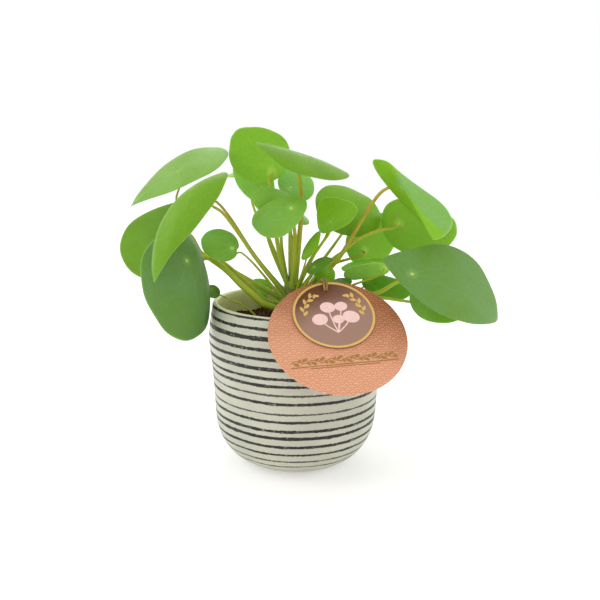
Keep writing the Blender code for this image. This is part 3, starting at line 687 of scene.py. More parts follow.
class MONEYPLANT_OT_pot(bpy.types.Operator):
    """Turns the glazed pot with its painted rings"""
    bl_idname = "moneyplant.pot"
    bl_label = "Turn the Pot"

    def execute(self, context):
        pot = context.scene.moneyplant_pot
        core = 10.0
        outline = pot_outline()
        section = [Vector((radius - core, -height, 0.0)) for radius, height, *rest in outline]
        top = POT_RINGS[0][0] - 2
        marks = {name: [row[column] for row in outline]
                 for column, name in ((2, "ring_edge"), (3, "ring_strength"), (4, "inside"))}
        marks["painted"] = [1.0 if 3.0 < row[1] < top and row[4] == 0 else 0.0 for row in outline]
        piece = line_piece("glazed_pot", [(section, False)], marks)
        grow(piece, turned_wall(glaze_finish(pot)), {
            "Sides": pot.sides, "Core": core * MM, "Ring wander": pot.ring_wander,
            "Unevenness": pot.unevenness})
        settle(piece, "pot_ceramic", "pot")
        return {"FINISHED"}


# Soil

def soil_finish(soil):
    """Moist compost: dark and reddish, paler where a crumb has dried."""
    tree = Finish("potting_soil")
    patch = tree.noise(160.0, 4.0, 0.65)
    grain = tree.noise(1500.0, 3.0, 0.7)
    return tree.end({
        "Base Color": tree.coats(
            shade(soil.colour, 0.45), (tree.fade(patch, 0.35, 0.65), soil.colour),
            (tree.fade(grain, 0.55, 0.75), (0.24, 0.085, 0.025))),
        "Roughness": tree.fade(patch, 0.3, 0.7, 0.70, 0.95),
        "Specular IOR Level": 0.15,
        "Normal": tree.bump(grain, 0.9, 0.4)})


def fibre_finish():
    """Dry coir fibre and bark slivers."""
    tree = Finish("coir_fibre")
    tone = tree.fade(tree.noise(260.0, 2.0), 0.35, 0.65)
    return tree.end({
        "Base Color": tree.blend(tone, (0.13, 0.050, 0.026), (0.33, 0.19, 0.10)),
        "Roughness": 0.85})


def scatter_on_top(name, material, bit, seed):
    """Strews small bits over the faces that look up, each turned and sized at random."""
    tree = Shape(name, {"Density": "Float", "Size": "Float"})
    given = tree.given
    level = tree.math("GREATER_THAN", tree.parts(tree.add("GeometryNodeInputNormal"))[2], 0.5)
    points = tree.add("GeometryNodeDistributePointsOnFaces", {
        "Mesh": given["Geometry"], "Density": given["Density"], "Selection": level, "Seed": seed})
    tilt = bit["tilt"]
    spread = tree.add("GeometryNodeInstanceOnPoints", {
        "Points": points, "Instance": tree.add(bit["kind"], bit["form"]),
        "Rotation": tree.chance((pi / 2 - tilt, -tilt, -3.14), (pi / 2 + tilt, tilt, 3.14),
                                seed + 2),
        "Scale": tree.scale(tree.chance(bit["low"], bit["high"], seed + 1), given["Size"])})
    real = tree.add("GeometryNodeRealizeInstances", {"Geometry": spread})
    rough = tree.add("ShaderNodeTexNoise", {
        "Vector": tree.add("GeometryNodeInputPosition"), "Scale": bit["grain"], "Detail": 2.0},
        "Color")
    centred = tree.vector("SUBTRACT", rough, (0.5, 0.5, 0.5))
    worn = tree.add("GeometryNodeSetPosition", {
        "Geometry": real, "Offset": tree.scale(centred, given["Size"] * bit["wear"])})
    return tree.end(worn, material)


def soil_height(x, y):
    """The uneven top of the soil, heaped a little round the stem."""
    distance = sqrt((x - STEM_X) ** 2 + y * y)
    heap = 0.8 * exp(-(distance / 13.0) ** 2)
    lumps = 1.5 * noise.noise(Vector((x, y, 3.0)) / 15.0)
    lumps += 0.9 * noise.noise(Vector((x, y, 9.0)) / 5.0)
    rim = sqrt(x * x + y * y) / SOIL_RADIUS
    return SOIL_TOP - 0.9 + heap + lumps - 1.4 * rim ** 6


class MONEYPLANT_OT_soil(bpy.types.Operator):
    """Fills the pot with crumbly potting soil"""
    bl_idname = "moneyplant.soil"
    bl_label = "Fill in the Soil"

    def execute(self, context):
        soil = context.scene.moneyplant_soil
        material = soil_finish(soil)
        rings, sectors = 44, 120
        rows = [(SOIL_RADIUS * ring / rings, None) for ring in range(1, rings + 1)]
        rows += [(SOIL_RADIUS, 98.0), (58.6, 60.0), (54.0, 22.0), (34.0, SOIL_FLOOR)]
        points = [Vector((0.0, 0.0, soil_height(0.0, 0.0)))]
        for radius, height in rows:
            for sector in range(sectors):
                angle = 2 * pi * sector / sectors
                x, y = radius * cos(angle), radius * sin(angle)
                points.append(Vector((x, y, height or soil_height(x, y))))
        points.append(Vector((0.0, 0.0, SOIL_FLOOR)))
        end = len(points) - 1
        faces = ring_faces(0, range(1, end, sectors), sectors, end)
        ground = make_piece("soil_bed", points, faces, material)
        for name, bit, finish, density, size, seed in (
                ("soil_crumbs", CRUMB, material, soil.crumb_density, soil.crumb_size, 11),
                ("soil_fibres", FIBRE, fibre_finish(), soil.fibre_density, 0.0011, 23)):
            piece = link(name, ground.data.copy())
            grow(piece, scatter_on_top(name, finish, bit, seed), {"Density": density, "Size": size})
            settle(piece, "soil")
        settle(ground, "soil", "soil")
        return {"FINISHED"}


# Leaves

def blade_axes(leaf):
    """The chord's start and length, and the directions along, across and out of the blade."""
    base = Vector(leaf["base"])
    chord = Vector(leaf["tip"]) - base
    along = chord.normalized()
    upright = (Vector((0, 0, 1)) - along * along.z).normalized()
    forward = along.cross(upright)
    if forward.y > 0:
        forward.negate()
    out = upright * cos(radians(leaf["turn"])) + forward * sin(radians(leaf["turn"]))
    return base, chord.length, along, out.cross(along), out


def blade_point(leaf, axes, run, side):
    """A point of the curved blade, from run (0 base to 1 tip) and side (mm off the midrib)."""
    base, length, along, across, out = axes
    skew = radians(leaf["skew"])
    lengthwise = (run - 0.5) * length
    run = 0.5 + (cos(skew) * lengthwise - sin(skew) * side) / length
    side = sin(skew) * lengthwise + cos(skew) * side
    half = leaf["width"] / 2
    cup = radians(leaf["cup"])
    crease = leaf["crease"]
    share = side / half
    reach = (1 - crease) * sin(cup * share) / cup + crease * share * cos(0.8 * cup)
    fall = ((1 - crease) * (1 - cos(cup * share)) / cup
            + crease * (sqrt(share * share + 0.01) - 0.1) * sin(0.8 * cup))
    twist = radians(leaf["twist"]) * (run - 0.5)
    shift = half * (reach * cos(twist) + fall * sin(twist))
    lift = 4 * leaf["arch"] * run * (1 - run) + half * (reach * sin(twist) - fall * cos(twist))
    return base + along * run * length + across * shift + out * lift


def rim_point(leaf, angle):
    """Where the flat outline lies at an angle round the blade: run and side."""
    run = 0.5 * (1 - cos(angle))
    narrowed = run if leaf["point"] >= 0 else 1 - run
    taper = 1 - abs(leaf["point"]) * narrowed ** 4
    return run, leaf["width"] / 2 * sin(angle) * (1 + leaf["egg"] * (0.5 - run)) * taper


def build_blade(name, leaf, material, settings):
    """A living blade: dimpled over its stalk, a little rippled at the edge, rounded all round."""
    axes = blade_axes(leaf)
    length, out = axes[1], axes[4]
    socket, aside = leaf["socket"], leaf["aside"]
    dice = random.Random(name)
    turns = [dice.uniform(0, 2 * pi) for _ in range(6)]
    sectors = settings.sectors if length > 24 else settings.sectors * 2 // 3
    half_thick = settings.thickness / MM / 2 * min(1.0, 0.55 + length / 100)
    wave = settings.ripple / MM * min(1.0, length / 60)

    def sheet(share, angle):
        run, side = rim_point(leaf, angle)
        nick = angle if angle < pi else 2 * pi - angle
        edge = 1 + 0.006 * sin(4 * angle + turns[0]) + 0.004 * sin(9 * angle + turns[1])
        edge -= leaf["notch"] / (socket * length) * exp(-(nick / NICK_WIDTH) ** 2) * share ** 3
        run = socket + share * edge * (run - socket)
        side = share * edge * (side - aside)
        point = blade_point(leaf, axes, run, aside + side)
        lengthwise = (run - socket) * length
        ripple = wave * share ** 3 * (sin(3 * angle + turns[2]) + 0.6 * sin(5 * angle + turns[3])
                                      + 0.35 * sin(8 * angle + turns[4]))
        quilt = 0.35 * wave * share * sin(2 * angle + turns[5]) * sin(pi * share)
        dimple = DIMPLE_DEPTH * exp(-(lengthwise ** 2 + side ** 2) / DIMPLE_SPREAD)
        return point + out * (ripple + quilt - dimple), lengthwise, side

    middle = sheet(0.0, 0.0)[0]
    grid = [[sheet(share, 2 * pi * k / sectors) for k in range(sectors)] for share in BLADE_RINGS]
    outward = []
    for ring, row in enumerate(grid):
        inner = grid[ring - 1] if ring else [(middle, 0.0, 0.0)] * sectors
        outward.append([])
        for k in range(sectors):
            round_rim = row[(k + 1) % sectors][0] - row[k - 1][0]
            outward[-1].append((row[k][0] - inner[k][0]).cross(round_rim).normalized())
    flipped = outward[2][0].dot(out) < 0
    if flipped:
        outward = [[-normal for normal in normals] for normals in outward]
    centre_out = sum(outward[0], Vector()).normalized()
    points = []
    for face in (1, -1):
        points.append(middle + centre_out * half_thick * face)
        for share, row, normals in zip(BLADE_RINGS[:-1], grid, outward):
            swell = half_thick * sqrt(1 - share ** 12)
            points += [place[0] + normal * swell * face for place, normal in zip(row, normals)]
    points += [place[0] for place in grid[-1]]
    places = [(0.0, 0.0, 0.0)] + [(lengthwise, side, share)
                                  for share, row in zip(BLADE_RINGS, grid[:-1])
                                  for point, lengthwise, side in row]
    count = len(places)
    places = places * 2 + [(lengthwise, side, 1.0) for point, lengthwise, side in grid[-1]]
    faces = []
    for start, turned_over in ((0, flipped), (count, not flipped)):
        made = ring_faces(start, [*range(start + 1, start + count, sectors), 2 * count], sectors)
        faces += [face[::-1] for face in made] if turned_over else made
    marks = {"place": places, "under": [0.0] * count + [1.0] * count + [0.5] * sectors}
    # half: painted backlight makes one half warmer, while the other half keeps its cool tint as painted
    # sheen
    marks["cool"] = [leaf["cool"] * (1 - leaf["half"] * (side < 0 or along < -6))
                     for along, side, share in places]
    # light: a per-leaf brightness that is partly painted light and shade
    for tint in ("light", "eye"):
        marks[tint] = [leaf[tint]] * len(points)
    return make_piece(name + "_leaf", points, faces, material, marks)


def leaf_finish(name, colours):
    """Fleshy leaf: satin upper face with a pale eye and faint veins, paler matt underside."""
    tree = Finish(name)
    warm, cool, beneath = colours
    flat = tree.mark("place", "Vector")
    length, side, share = tree.parts(flat)
    under = tree.fade(tree.mark("under"), 0.35, 0.65)
    patch = tree.fade(tree.noise(32.0, 3.0), 0.35, 0.70)
    fine = tree.noise(420.0, 3.0)
    coolness = tree.mark("cool")
    seen = tree.mark("eye")
    from_eye = tree.length(tree.vector("MULTIPLY", flat, (1.0, 1.0, 0.0)))
    heading = tree.math("ARCTAN2", side, length) + (tree.noise(90.0, 1.0) - 0.5) * 0.35
    spoke = tree.math("FRACT", heading * (VEINS / (2 * pi)) + 0.5) - 0.5
    across = tree.math("ABSOLUTE", spoke) * from_eye * (2 * pi / VEINS)
    vein = (tree.fade(across, 0.75, 0.1) * tree.fade(share, 0.95, 0.15)
            * tree.fade(from_eye, 1.0, 3.0))
    eye = tree.fade(from_eye, 1.75, 1.0)
    halo = tree.fade(from_eye, 6.0, 1.2)
    upper = tree.coats(
        warm, (coolness, cool), (patch * 0.55, shade(warm, 0.80)),
        (vein * 0.07, (0.45, 0.62, 0.22)), (halo * seen * 0.30, (0.42, 0.62, 0.16)),
        (eye * seen, (0.52, 0.76, 0.20)))
    lower = tree.coats(
        beneath, (patch * 0.35, shade(beneath, 1.25)), (coolness * 0.8, cool),
        (vein * 0.14, (0.40, 0.62, 0.10)), (halo * 0.55, (0.55, 0.68, 0.13)))
    # the pale band at the very edge is partly the paler rolled margin and partly a painted highlight on
    # the rounded edge
    colour = tree.coats(
        upper, (under, lower), (tree.fade(share, 0.975, 0.995) * 0.45, (0.42, 0.60, 0.20)),
        (tree.fade(fine, 0.3, 0.7) * 0.10, (0.03, 0.09, 0.01)))
    ribs = tree.bump(vein, 0.35, 0.12, tree.bump(tree.noise(130.0, 2.0), 0.30, 0.35))
    return tree.end({
        # the colour scaled by light, a per-leaf brightness that is partly painted light and shade
        "Base Color": tree.scale(colour, tree.mark("light")),
        "Roughness": tree.fade(fine, 0.3, 0.7, 0.36, 0.46) + under * 0.2,
        "Specular IOR Level": 0.14,
        "Subsurface Weight": 0.25,
        "Subsurface Radius": (0.6, 1.0, 0.15),
        "Subsurface Scale": 0.0012,
        "Normal": tree.bump(fine, 0.10, 0.10, ribs)})


class MONEYPLANT_OT_blades(bpy.types.Operator):
    """Grows every round leaf blade"""
    bl_idname = "moneyplant.blades"
    bl_label = "Grow the Leaves"

    def execute(self, context):
        settings = context.scene.moneyplant_leaf
        finishes = {slot: leaf_finish("leaf_skin_" + slot[5:], colours)
                    for slot, colours in LEAF_COLOURS.items()}
        for name, leaf in [*LEAVES.items(), ("blade_offset", OFFSET_LEAF)]:
            piece = build_blade(name, leaf, finishes[leaf["slot"]], settings)
            settle(piece, leaf["slot"], name)
        return {"FINISHED"}


# Stem and stalks

def socket_frame(leaf):
    """The blade's point over the stalk's end and its outward direction there."""
    axes = blade_axes(leaf)
    socket, aside = leaf["socket"], leaf["aside"]
    along = (blade_point(leaf, axes, socket + 0.02, aside)
             - blade_point(leaf, axes, socket - 0.02, aside))
    across = (blade_point(leaf, axes, socket, aside + 1.0)
              - blade_point(leaf, axes, socket, aside - 1.0))
    out = along.cross(across).normalized()
    if out.dot(axes[4]) < 0:
        out.negate()
    return blade_point(leaf, axes, socket, aside), out


def stalk_end(leaf, came_from):
    """The stalk's last point, a hair inside the blade, and the direction that it arrives in."""
    touch, out = socket_frame(leaf)
    arrival = (out + 0.9 * (touch - came_from).normalized()).normalized()
    return touch - out * STALK_SINK, arrival


def smooth_route(points, spacing, closed=False):
    """Points about spacing apart on a smooth curve through the given points."""
    count = len(points)
    tangents = []
    for index in range(count):
        before = points[index - 1] if closed or index else points[0]
        after = points[(index + 1) % count] if closed or index < count - 1 else points[-1]
        tangents.append((after - before).normalized())
    route = []
    for index in range(count if closed else count - 1):
        after = (index + 1) % count
        length = (points[after] - points[index]).length
        steps = max(1, round(length / spacing))
        route += [curve_between(points[index], tangents[index] * length, points[after],
                                tangents[after] * length, step / steps) for step in range(steps)]
    return route if closed else route + [points[-1]]


def stalk_route(leaf):
    """The stalk's route from inside the stem to its blade."""
    via = [Vector(point) for point in leaf["via"]]
    heading = (via[0] if via else socket_frame(leaf)[0]) - Vector((STEM_X, 0, 0))
    heading.z = 0.0
    start = Vector((STEM_X, 0, leaf["stem_height"])) + heading.normalized() * STALK_ROOT_SETBACK
    end, arrival = stalk_end(leaf, via[-1] if via else start)
    approach = end - arrival * min(9.0, 0.25 * leaf["width"])
    return smooth_route([start] + via + [approach, end], STALK_STEP)


def stalk_marks(leaf, route, marks, root=1.25, taper=0.65):
    """Adds a stalk's radius, share of its length and blush at every point."""
    last = len(route) - 1
    for step in range(last + 1):
        along = step / last
        radius = leaf["stalk"] * (root - taper * along)
        radius *= 1 + 0.35 * exp(-(along * last * STALK_STEP / ROOT_FLARE) ** 2)
        radius *= 1 + 0.30 * exp(-((1 - along) * last * STALK_STEP / END_FLARE) ** 2)
        marks["thick"].append(radius * MM)
        marks["along"].append(along)
        marks["blush"].append(leaf["blush"])


def stalk_finish(leaves):
    """Juicy stalk: green with a brown-red blush, streaked, pale where it meets the blade."""
    tree = Finish("stalk_skin")
    along = tree.mark("along")
    streak = tree.noise(1.0, 3.0, stretch=(900.0, 900.0, 60.0))
    red = (tree.mark("blush") * tree.fade(tree.noise(45.0, 2.0), 0.30, 0.62, 0.35, 1.0)
           * tree.fade(along, 0.05, 0.35))
    return tree.end({
        "Base Color": tree.coats(
            (0.24, 0.36, 0.020), (tree.fade(along, 0.0, 0.30), leaves.stalk_green),
            (red, leaves.stalk_blush), (tree.fade(streak, 0.45, 0.75) * 0.35, (0.50, 0.60, 0.06)),
            (tree.fade(along, 0.93, 1.0), (0.55, 0.68, 0.12))),
        "Roughness": tree.fade(streak, 0.3, 0.7, 0.34, 0.52),
        "Specular IOR Level": 0.25,
        "Normal": tree.bump(streak, 0.35, 0.15)})


def bark_finish():
    """Corky young stem: brown below, greener towards the growing point."""
    tree = Finish("stem_bark")
    grain = tree.noise(420.0, 4.0, 0.7)
    height = tree.fade(tree.parts(tree.place)[2] + grain * 0.012, 0.110, 0.142)
    return tree.end({
        "Base Color": tree.coats(
            (0.15, 0.095, 0.045), (height, (0.20, 0.24, 0.05)),
            (tree.fade(grain, 0.50, 0.72), (0.30, 0.22, 0.11))),
        "Roughness": 0.75,
        "Normal": tree.bump(grain, 0.8, 0.5)})


def build_stem(material):
    """The short stem, knobbly with the swollen joint of every leaf."""
    joints = []
    for leaf in LEAVES.values():
        foot = stalk_route(leaf)[3]
        joints.append((atan2(foot.y, foot.x - STEM_X), leaf["stem_height"]))
    rows, sides = 60, 40
    bottom = STEM_PROFILE[0][1]
    points = []
    for row in range(rows + 1):
        height = bottom + (STEM_TOP - 1.2 - bottom) * row / rows
        index = profile_part(STEM_PROFILE, height)
        (start, low), (end, high) = STEM_PROFILE[index:index + 2]
        radius = start + (end - start) * min(1.0, (height - low) / (high - low))
        for side in range(sides):
            angle = 2 * pi * side / sides
            swell = 0.35 * noise.noise(Vector((2 * cos(angle), 2 * sin(angle), height / 3.0)))
            for joint, level in joints:
                apart = (angle - joint + pi) % (2 * pi) - pi
                swell += JOINT_SWELL * exp(-(apart * radius / JOINT_WIDTH) ** 2
                                           - ((height - level + 1.0) / JOINT_DEPTH) ** 2)
            reach = radius + min(swell, 0.9)
            points.append(Vector((STEM_X + reach * cos(angle), reach * sin(angle), height)))
    points += [Vector((STEM_X, 0.0, STEM_TOP)), Vector((STEM_X, 0.0, bottom))]
    top = len(points) - 2
    faces = ring_faces(top + 1, range(0, top, sides), sides, top)
    return make_piece("stem", points, [face[::-1] for face in faces], material)


class MONEYPLANT_OT_stalks(bpy.types.Operator):
    """Grows the stem and the stalk of every leaf"""
    bl_idname = "moneyplant.stalks"
    bl_label = "Grow the Stem and Stalks"

    def execute(self, context):
        leaves = context.scene.moneyplant_leaf
        tree = bars_along_lines(stalk_finish(leaves))
        sides = {"Sides": leaves.stalk_sides}
        marks = {"thick": [], "along": [], "blush": []}
        routes = []
        for leaf in LEAVES.values():
            routes.append((stalk_route(leaf), False))
            stalk_marks(leaf, routes[-1][0], marks)
        stalks = grow(line_piece("stalks", routes, marks), tree, sides)
        stem = build_stem(bark_finish())
        settle(stalks, "stalk", "stem_and_stalks")
        settle(stem, "stalk")
        via = [Vector(point) for point in OFFSET_LEAF["via"]]
        end, arrival = stalk_end(OFFSET_LEAF, via[-1])
        route = smooth_route([Vector(OFFSET_FOOT)] + via + [end - arrival * 2.5, end], 2.0)
        marks = {"thick": [], "along": [], "blush": []}
        stalk_marks(OFFSET_LEAF, route, marks, 1.0, 0.4)
        thread = grow(line_piece("offset_thread", [(route, False)], marks), tree, sides)
        settle(thread, "stalk", "offset_stalk")
        return {"FINISHED"}


# Tag

def tag_axes():
    """The tag's right, up and facing directions."""
    facing = Vector(TAG_FACING).normalized()
    up = (Vector((0, 0, 1)) - facing * facing.z).normalized()
    return up.cross(facing), up, facing


def on_tag(right, up, off):
    """A point given by its place on the large card and its height off the card's middle."""
    axes = tag_axes()
    return Vector(TAG_CENTRE) + axes[0] * right + axes[1] * up + axes[2] * off


def on_disc(reach, angle, sign=1):
    """A place on the large card at a distance and an angle from the small card's centre."""
    return DISC_PLACE[0] + sign * reach * cos(angle), DISC_PLACE[1] + reach * sin(angle)


def flat_piece(name, outlines, off, thickness, material, hole=None):
    """Thin shapes on the tag from outlines of (right, up), each a hair over the one before."""
    grid = bmesh.new()
    layer = grid.verts.layers.float_vector.new("place")
    for index, outline in enumerate(outlines):
        faces = []
        for height in (off - thickness / 2, off + thickness / 2 + 0.005 * index):
            rings = []
            for ring in ([outline, hole] if hole else [outline]):
                rings.append([grid.verts.new(on_tag(*point, height)) for point in ring])
                for vert, point in zip(rings[-1], ring):
                    vert[layer] = (*point, 0.0)
            faces.append(rings)
        for low, high in zip(*faces):
            for k in range(len(low)):
                after = (k + 1) % len(low)
                grid.faces.new((low[k], low[after], high[after], high[k]))
        for rings in faces:
            edges = [grid.edges.get((ring[k], ring[(k + 1) % len(ring)]))
                     for ring in rings for k in range(len(ring))]
            bmesh.ops.triangle_fill(grid, edges=edges, use_beauty=True)
    bmesh.ops.scale(grid, vec=(MM, MM, MM), verts=grid.verts)
    bmesh.ops.recalc_face_normals(grid, faces=grid.faces)
    mesh = bpy.data.meshes.new(name)
    grid.to_mesh(mesh)
    grid.free()
    mesh.materials.append(material)
    mesh.shade_smooth()
    mesh.set_sharp_from_angle(angle=radians(30))
    return link(name, mesh)


def turned(centre, x, y, turn):
    """A place beside a centre on the tag, turned about it."""
    return (centre[0] + x * cos(turn) - y * sin(turn), centre[1] + x * sin(turn) + y * cos(turn))


def oval(centre, half_length, half_width, count, turn=0.0, pinch=0.0):
    """The outline of a round or oval shape on the tag, with its ends pinched to points."""
    outline = []
    for k in range(count):
        angle = 2 * pi * k / count
        side = half_width * sin(angle) * (1 - pinch * abs(cos(angle)) ** 3)
        outline.append(turned(centre, half_length * cos(angle), side, turn))
    return outline


def circle(centre, radius, count):
    return oval(centre, radius, radius, count)


def petal(centre, length, width, turn):
    """The outline of a small pointed leaf on the tag."""
    return oval(centre, length / 2, width / 2, 18, turn, 0.55)


def ribbon(line, width):
    """The outline of a thin band along a line of points on the tag."""
    over, below = [], []
    for index, (right, up) in enumerate(line):
        before, after = line[max(index - 1, 0)], line[min(index + 1, len(line) - 1)]
        away = Vector((after[0] - before[0], after[1] - before[1])).normalized() * width / 2
        over.append((right - away.y, up + away.x))
        below.append((right + away.y, up - away.x))
    return over + below[::-1]


def card_finish(tag):
    """Pearly printed card with a fine traditional scallop pattern, darker towards its upper right with
    painted reflection and shade.
    """
    tree = Finish("printed_card")
    right, up, zero = tree.parts(tree.mark("place", "Vector"))
    rows = tree.math("DIVIDE", up, 0.62 * tag.scallop)
    columns = tree.math("DIVIDE", right, 2 * tag.scallop)
    rise = tree.math("FRACT", rows) * 0.5
    odd = tree.math("MODULO", tree.math("FLOOR", rows) + 400.0, 2.0)

    def distance(shift, height):
        gap = (tree.math("FRACT", columns + shift) - 0.5) * 2.0
        return tree.math("SQRT", gap * gap + height * height)

    own = distance(odd * 0.5, rise)
    lower = distance((1.0 - odd) * 0.5, rise + 0.5)
    from_centre = own + (lower - own) * tree.math("LESS_THAN", lower, 1.0)
    rings = from_centre * 2.0 + (tree.noise(300.0, 4.0) - 0.5) * 1.1
    line = tree.fade(tree.math("SINE", rings * (2 * pi)), 0.0, 0.9)
    # painted reflection and shade: the card and its scallop strokes darken towards the upper right
    tilt = up * 0.012 + right * 0.0045 + (tree.noise(55.0, 3.0) - 0.5) * 0.5
    painted_shade_and_reflection = tree.fade(tilt, -0.35, 0.55)
    stroke = tree.blend(painted_shade_and_reflection, (0.88, 0.50, 0.34), (0.62, 0.27, 0.11))
    paper = tree.noise(2600.0, 2.0)
    return tree.end({
        "Base Color": tree.coats(tag.card, (painted_shade_and_reflection, tag.card_painted_shade), (line * 0.62, stroke),
                                 (paper * 0.12, (0.35, 0.12, 0.07))),
        "Metallic": 0.25,
        "Roughness": tree.fade(line, 0.0, 1.0, 0.46, 0.34),
        "Normal": tree.bump(paper, 0.15, 0.05, tree.bump(line, 0.35, 0.08))})


def disc_finish(tag):
    """Smooth mauve card, with painted shade darkening it towards its top."""
    tree = Finish("mauve_card")
    right, up, zero = tree.parts(tree.mark("place", "Vector"))
    cloud = tree.noise(40.0, 3.0)
    # painted shade: the small card darkens towards its upper left, where the leaves shade it
    tilt = up * 0.030 + right * -0.014 + (cloud - 0.5) * 0.6
    paper = tree.noise(2600.0, 2.0)
    return tree.end({
        "Base Color": tree.coats(tag.disc, (tree.fade(tilt, 0.35, 1.35), tag.disc_painted_shade),
                                 (paper * 0.14, (0.24, 0.13, 0.12))),
        "Roughness": tree.fade(cloud, 0.3, 0.7, 0.36, 0.48),
        "Specular IOR Level": 0.2,
        "Normal": tree.bump(paper, 0.12, 0.05)})


def foil_finish(name, colour, metallic):
    """Stamped foil or thick ink on card."""
    tree = Finish(name)
    grain = tree.noise(900.0, 3.0)
    return tree.end({
        "Base Color": tree.blend(tree.fade(grain, 0.45, 0.75), colour, shade(colour, 0.78)),
        "Metallic": metallic,
        "Roughness": tree.fade(grain, 0.3, 0.7, 0.30, 0.45),
        "Normal": tree.bump(grain, 0.2, 0.05)})


def dots_on_points(material):
    """Stamps a small round dot on every point, lying on the tag."""
    tree = Shape("stamped dots", {
        "Sides": "Int", "Radius": "Float", "Height": "Float", "Turn": "Rotation"})
    given = tree.given
    dot = tree.add("GeometryNodeMeshCylinder", {
        "Vertices": given["Sides"], "Radius": given["Radius"], "Depth": given["Height"]})
    return tree.end(tree.add("GeometryNodeInstanceOnPoints", {
        "Points": given["Geometry"], "Instance": dot, "Rotation": given["Turn"]}), material)


class MONEYPLANT_OT_tag(bpy.types.Operator):
    """Makes the round card, the small card on it and its stamped ornament"""
    bl_idname = "moneyplant.tag"
    bl_label = "Make the Tag"

    def execute(self, context):
        tag = context.scene.moneyplant_tag
        hole = circle(TAG_HOLE, TAG_HOLE_RADIUS, 32)
        card = flat_piece("round_card", [circle((0, 0), CARD_RADIUS, 160)], 0.0, CARD_THICKNESS,
                          card_finish(tag), hole)
        settle(card, "tag_card", "tag_card")
        rim = circle(DISC_PLACE, DISC_RADIUS, 128)
        disc = flat_piece("small_card", [rim], DISC_OFF, DISC_THICKNESS, disc_finish(tag), hole)
        settle(disc, "tag_disc", "tag_disc")
        gold = foil_finish("gold_foil", tag.foil, 0.55)
        pink = foil_finish("pink_ink", tag.print_pink, 0.0)
        settle(flat_piece("foil_edge", [rim], DISC_FACE + 0.06, 0.12, gold,
                          circle(DISC_PLACE, DISC_RADIUS - 1.7, 128)), "tag_disc")
        settle(flat_piece("printed_sprig", self.sprig(), DISC_FACE + 0.04, 0.08, pink), "tag_disc")
        settle(flat_piece("foil_leaves", self.sprays(), DISC_FACE + 0.05, 0.10, gold), "tag_disc")
        turn = Matrix(tag_axes()).transposed().to_euler()
        berries = [on_tag(*on_disc(19.6, radians(angle)), DISC_FACE + 0.06)
                   for angle in (4, 27, 51, 129, 153, 176)]
        dots = line_piece("foil_dots", [([berry], False) for berry in berries])
        grow(dots, dots_on_points(gold), {
            "Sides": 24, "Radius": 0.85 * MM, "Height": 0.12 * MM, "Turn": turn})
        settle(dots, "tag_disc")
        deep = foil_finish("deep_gold_foil", (0.36, 0.185, 0.032), 0.35)
        settle(flat_piece("foil_vine", self.vine(), CARD_THICKNESS / 2 + 0.05, 0.10, deep), "tag_card")
        return {"FINISHED"}

    def sprays(self):
        """Two sprays of gold leaves, left and right inside the small card's edge."""
        outlines = []
        for sign in (1, -1):
            outlines.append(ribbon([on_disc(SPRAY_RADIUS, radians(-4 + 62 * step / 12), sign)
                                    for step in range(13)], 0.5))
            for step in range(7):
                side = 1 if step % 2 else -1
                place = radians(3 + 9 * step)
                lean = place + radians(90 - 36 * side)
                centre = on_disc(SPRAY_RADIUS + 1.5 * side, place, sign)
                outlines.append(petal(centre, 4.9, 2.3, lean if sign > 0 else pi - lean))
        return outlines

    def vine(self):
        """A running vine between two fine rules, a little aslant over the card's lower part."""
        slant = 0.066

        def place(right, up):
            return turned((1.5, -19.6), right, up, slant)

        outlines = [ribbon([place(x, 1.2 * sin(x * pi / 6)) for x in range(-37, 38)], 0.6)]
        for step in range(-6, 6):
            side = 1 if step % 2 else -1
            outlines.append(petal(place(6 * step + 3.0, side * 1.5), 4.8, 2.3, slant + side * 0.5))
            outlines.append(petal(place(6 * step + 5.4, side * -1.1), 3.4, 1.7, slant - side * 0.9))
        for reach, up in ((37, -4.0), (24, -5.6)):
            outlines.append(ribbon([place(-reach, up), place(reach, up)], 0.5))
        return outlines

    def sprig(self):
        """A printed sprig of round leaves on thin stalks."""
        foot = Vector((DISC_PLACE[0] + 1.0, DISC_PLACE[1] - 16.0))
        outlines = []
        for right, up, radius, turn in ((-10.5, -4.5, 5.6, 0.3), (-3.8, 6.0, 5.4, 0.0),
                                        (5.8, 6.8, 4.6, 0.2), (11.8, -2.6, 6.0, -0.3),
                                        (2.6, -4.6, 4.2, 0.1)):
            centre = Vector((DISC_PLACE[0] + right, DISC_PLACE[1] + up))
            outlines.append(oval(centre, radius, 0.86 * radius, 40, turn))
            bow = Vector((0.10 * (centre.x - foot.x), 0.0))
            outlines.append(ribbon([foot.lerp(centre, t / 8) + bow * 4 * (t / 8) * (1 - t / 8)
                                    for t in range(9)], 0.9))
        return outlines


# Twine

def twine_points():
    """The loop's route: two strands over the tag's edge and through its hole, one round the stem."""
    stem = Vector((STEM_X, 0.0, TWINE_TIE_HEIGHT))
    hole_right, hole_up = TAG_HOLE
    strand = [(hole_right - side, hole_up + up, off) for side, up, off in TWINE_HALF]
    points = [on_tag(*place) for place in strand]
    for degrees in TWINE_TIE_ANGLES:
        angle = radians(degrees)
        points.append(stem + Vector((cos(angle), sin(angle), 0)) * TWINE_TIE_RADIUS)
    return points + [on_tag(2 * hole_right - right, up, off) for right, up, off in strand[::-1]]


def twine_finish(tag):
    """Jute: dull straw brown with darker fibres."""
    tree = Finish("jute_twine")
    fibre = tree.noise(2300.0, 3.0, 0.7)
    patch = tree.noise(210.0, 2.0)
    return tree.end({
        "Base Color": tree.coats(
            shade(tag.twine, 0.50), (tree.fade(fibre, 0.35, 0.7), tag.twine),
            (tree.fade(patch, 0.45, 0.7) * 0.5, (0.50, 0.33, 0.11))),
        "Roughness": 0.88,
        "Specular IOR Level": 0.2,
        "Sheen Weight": 0.15,
        "Normal": tree.bump(fibre, 0.8, 0.25)})


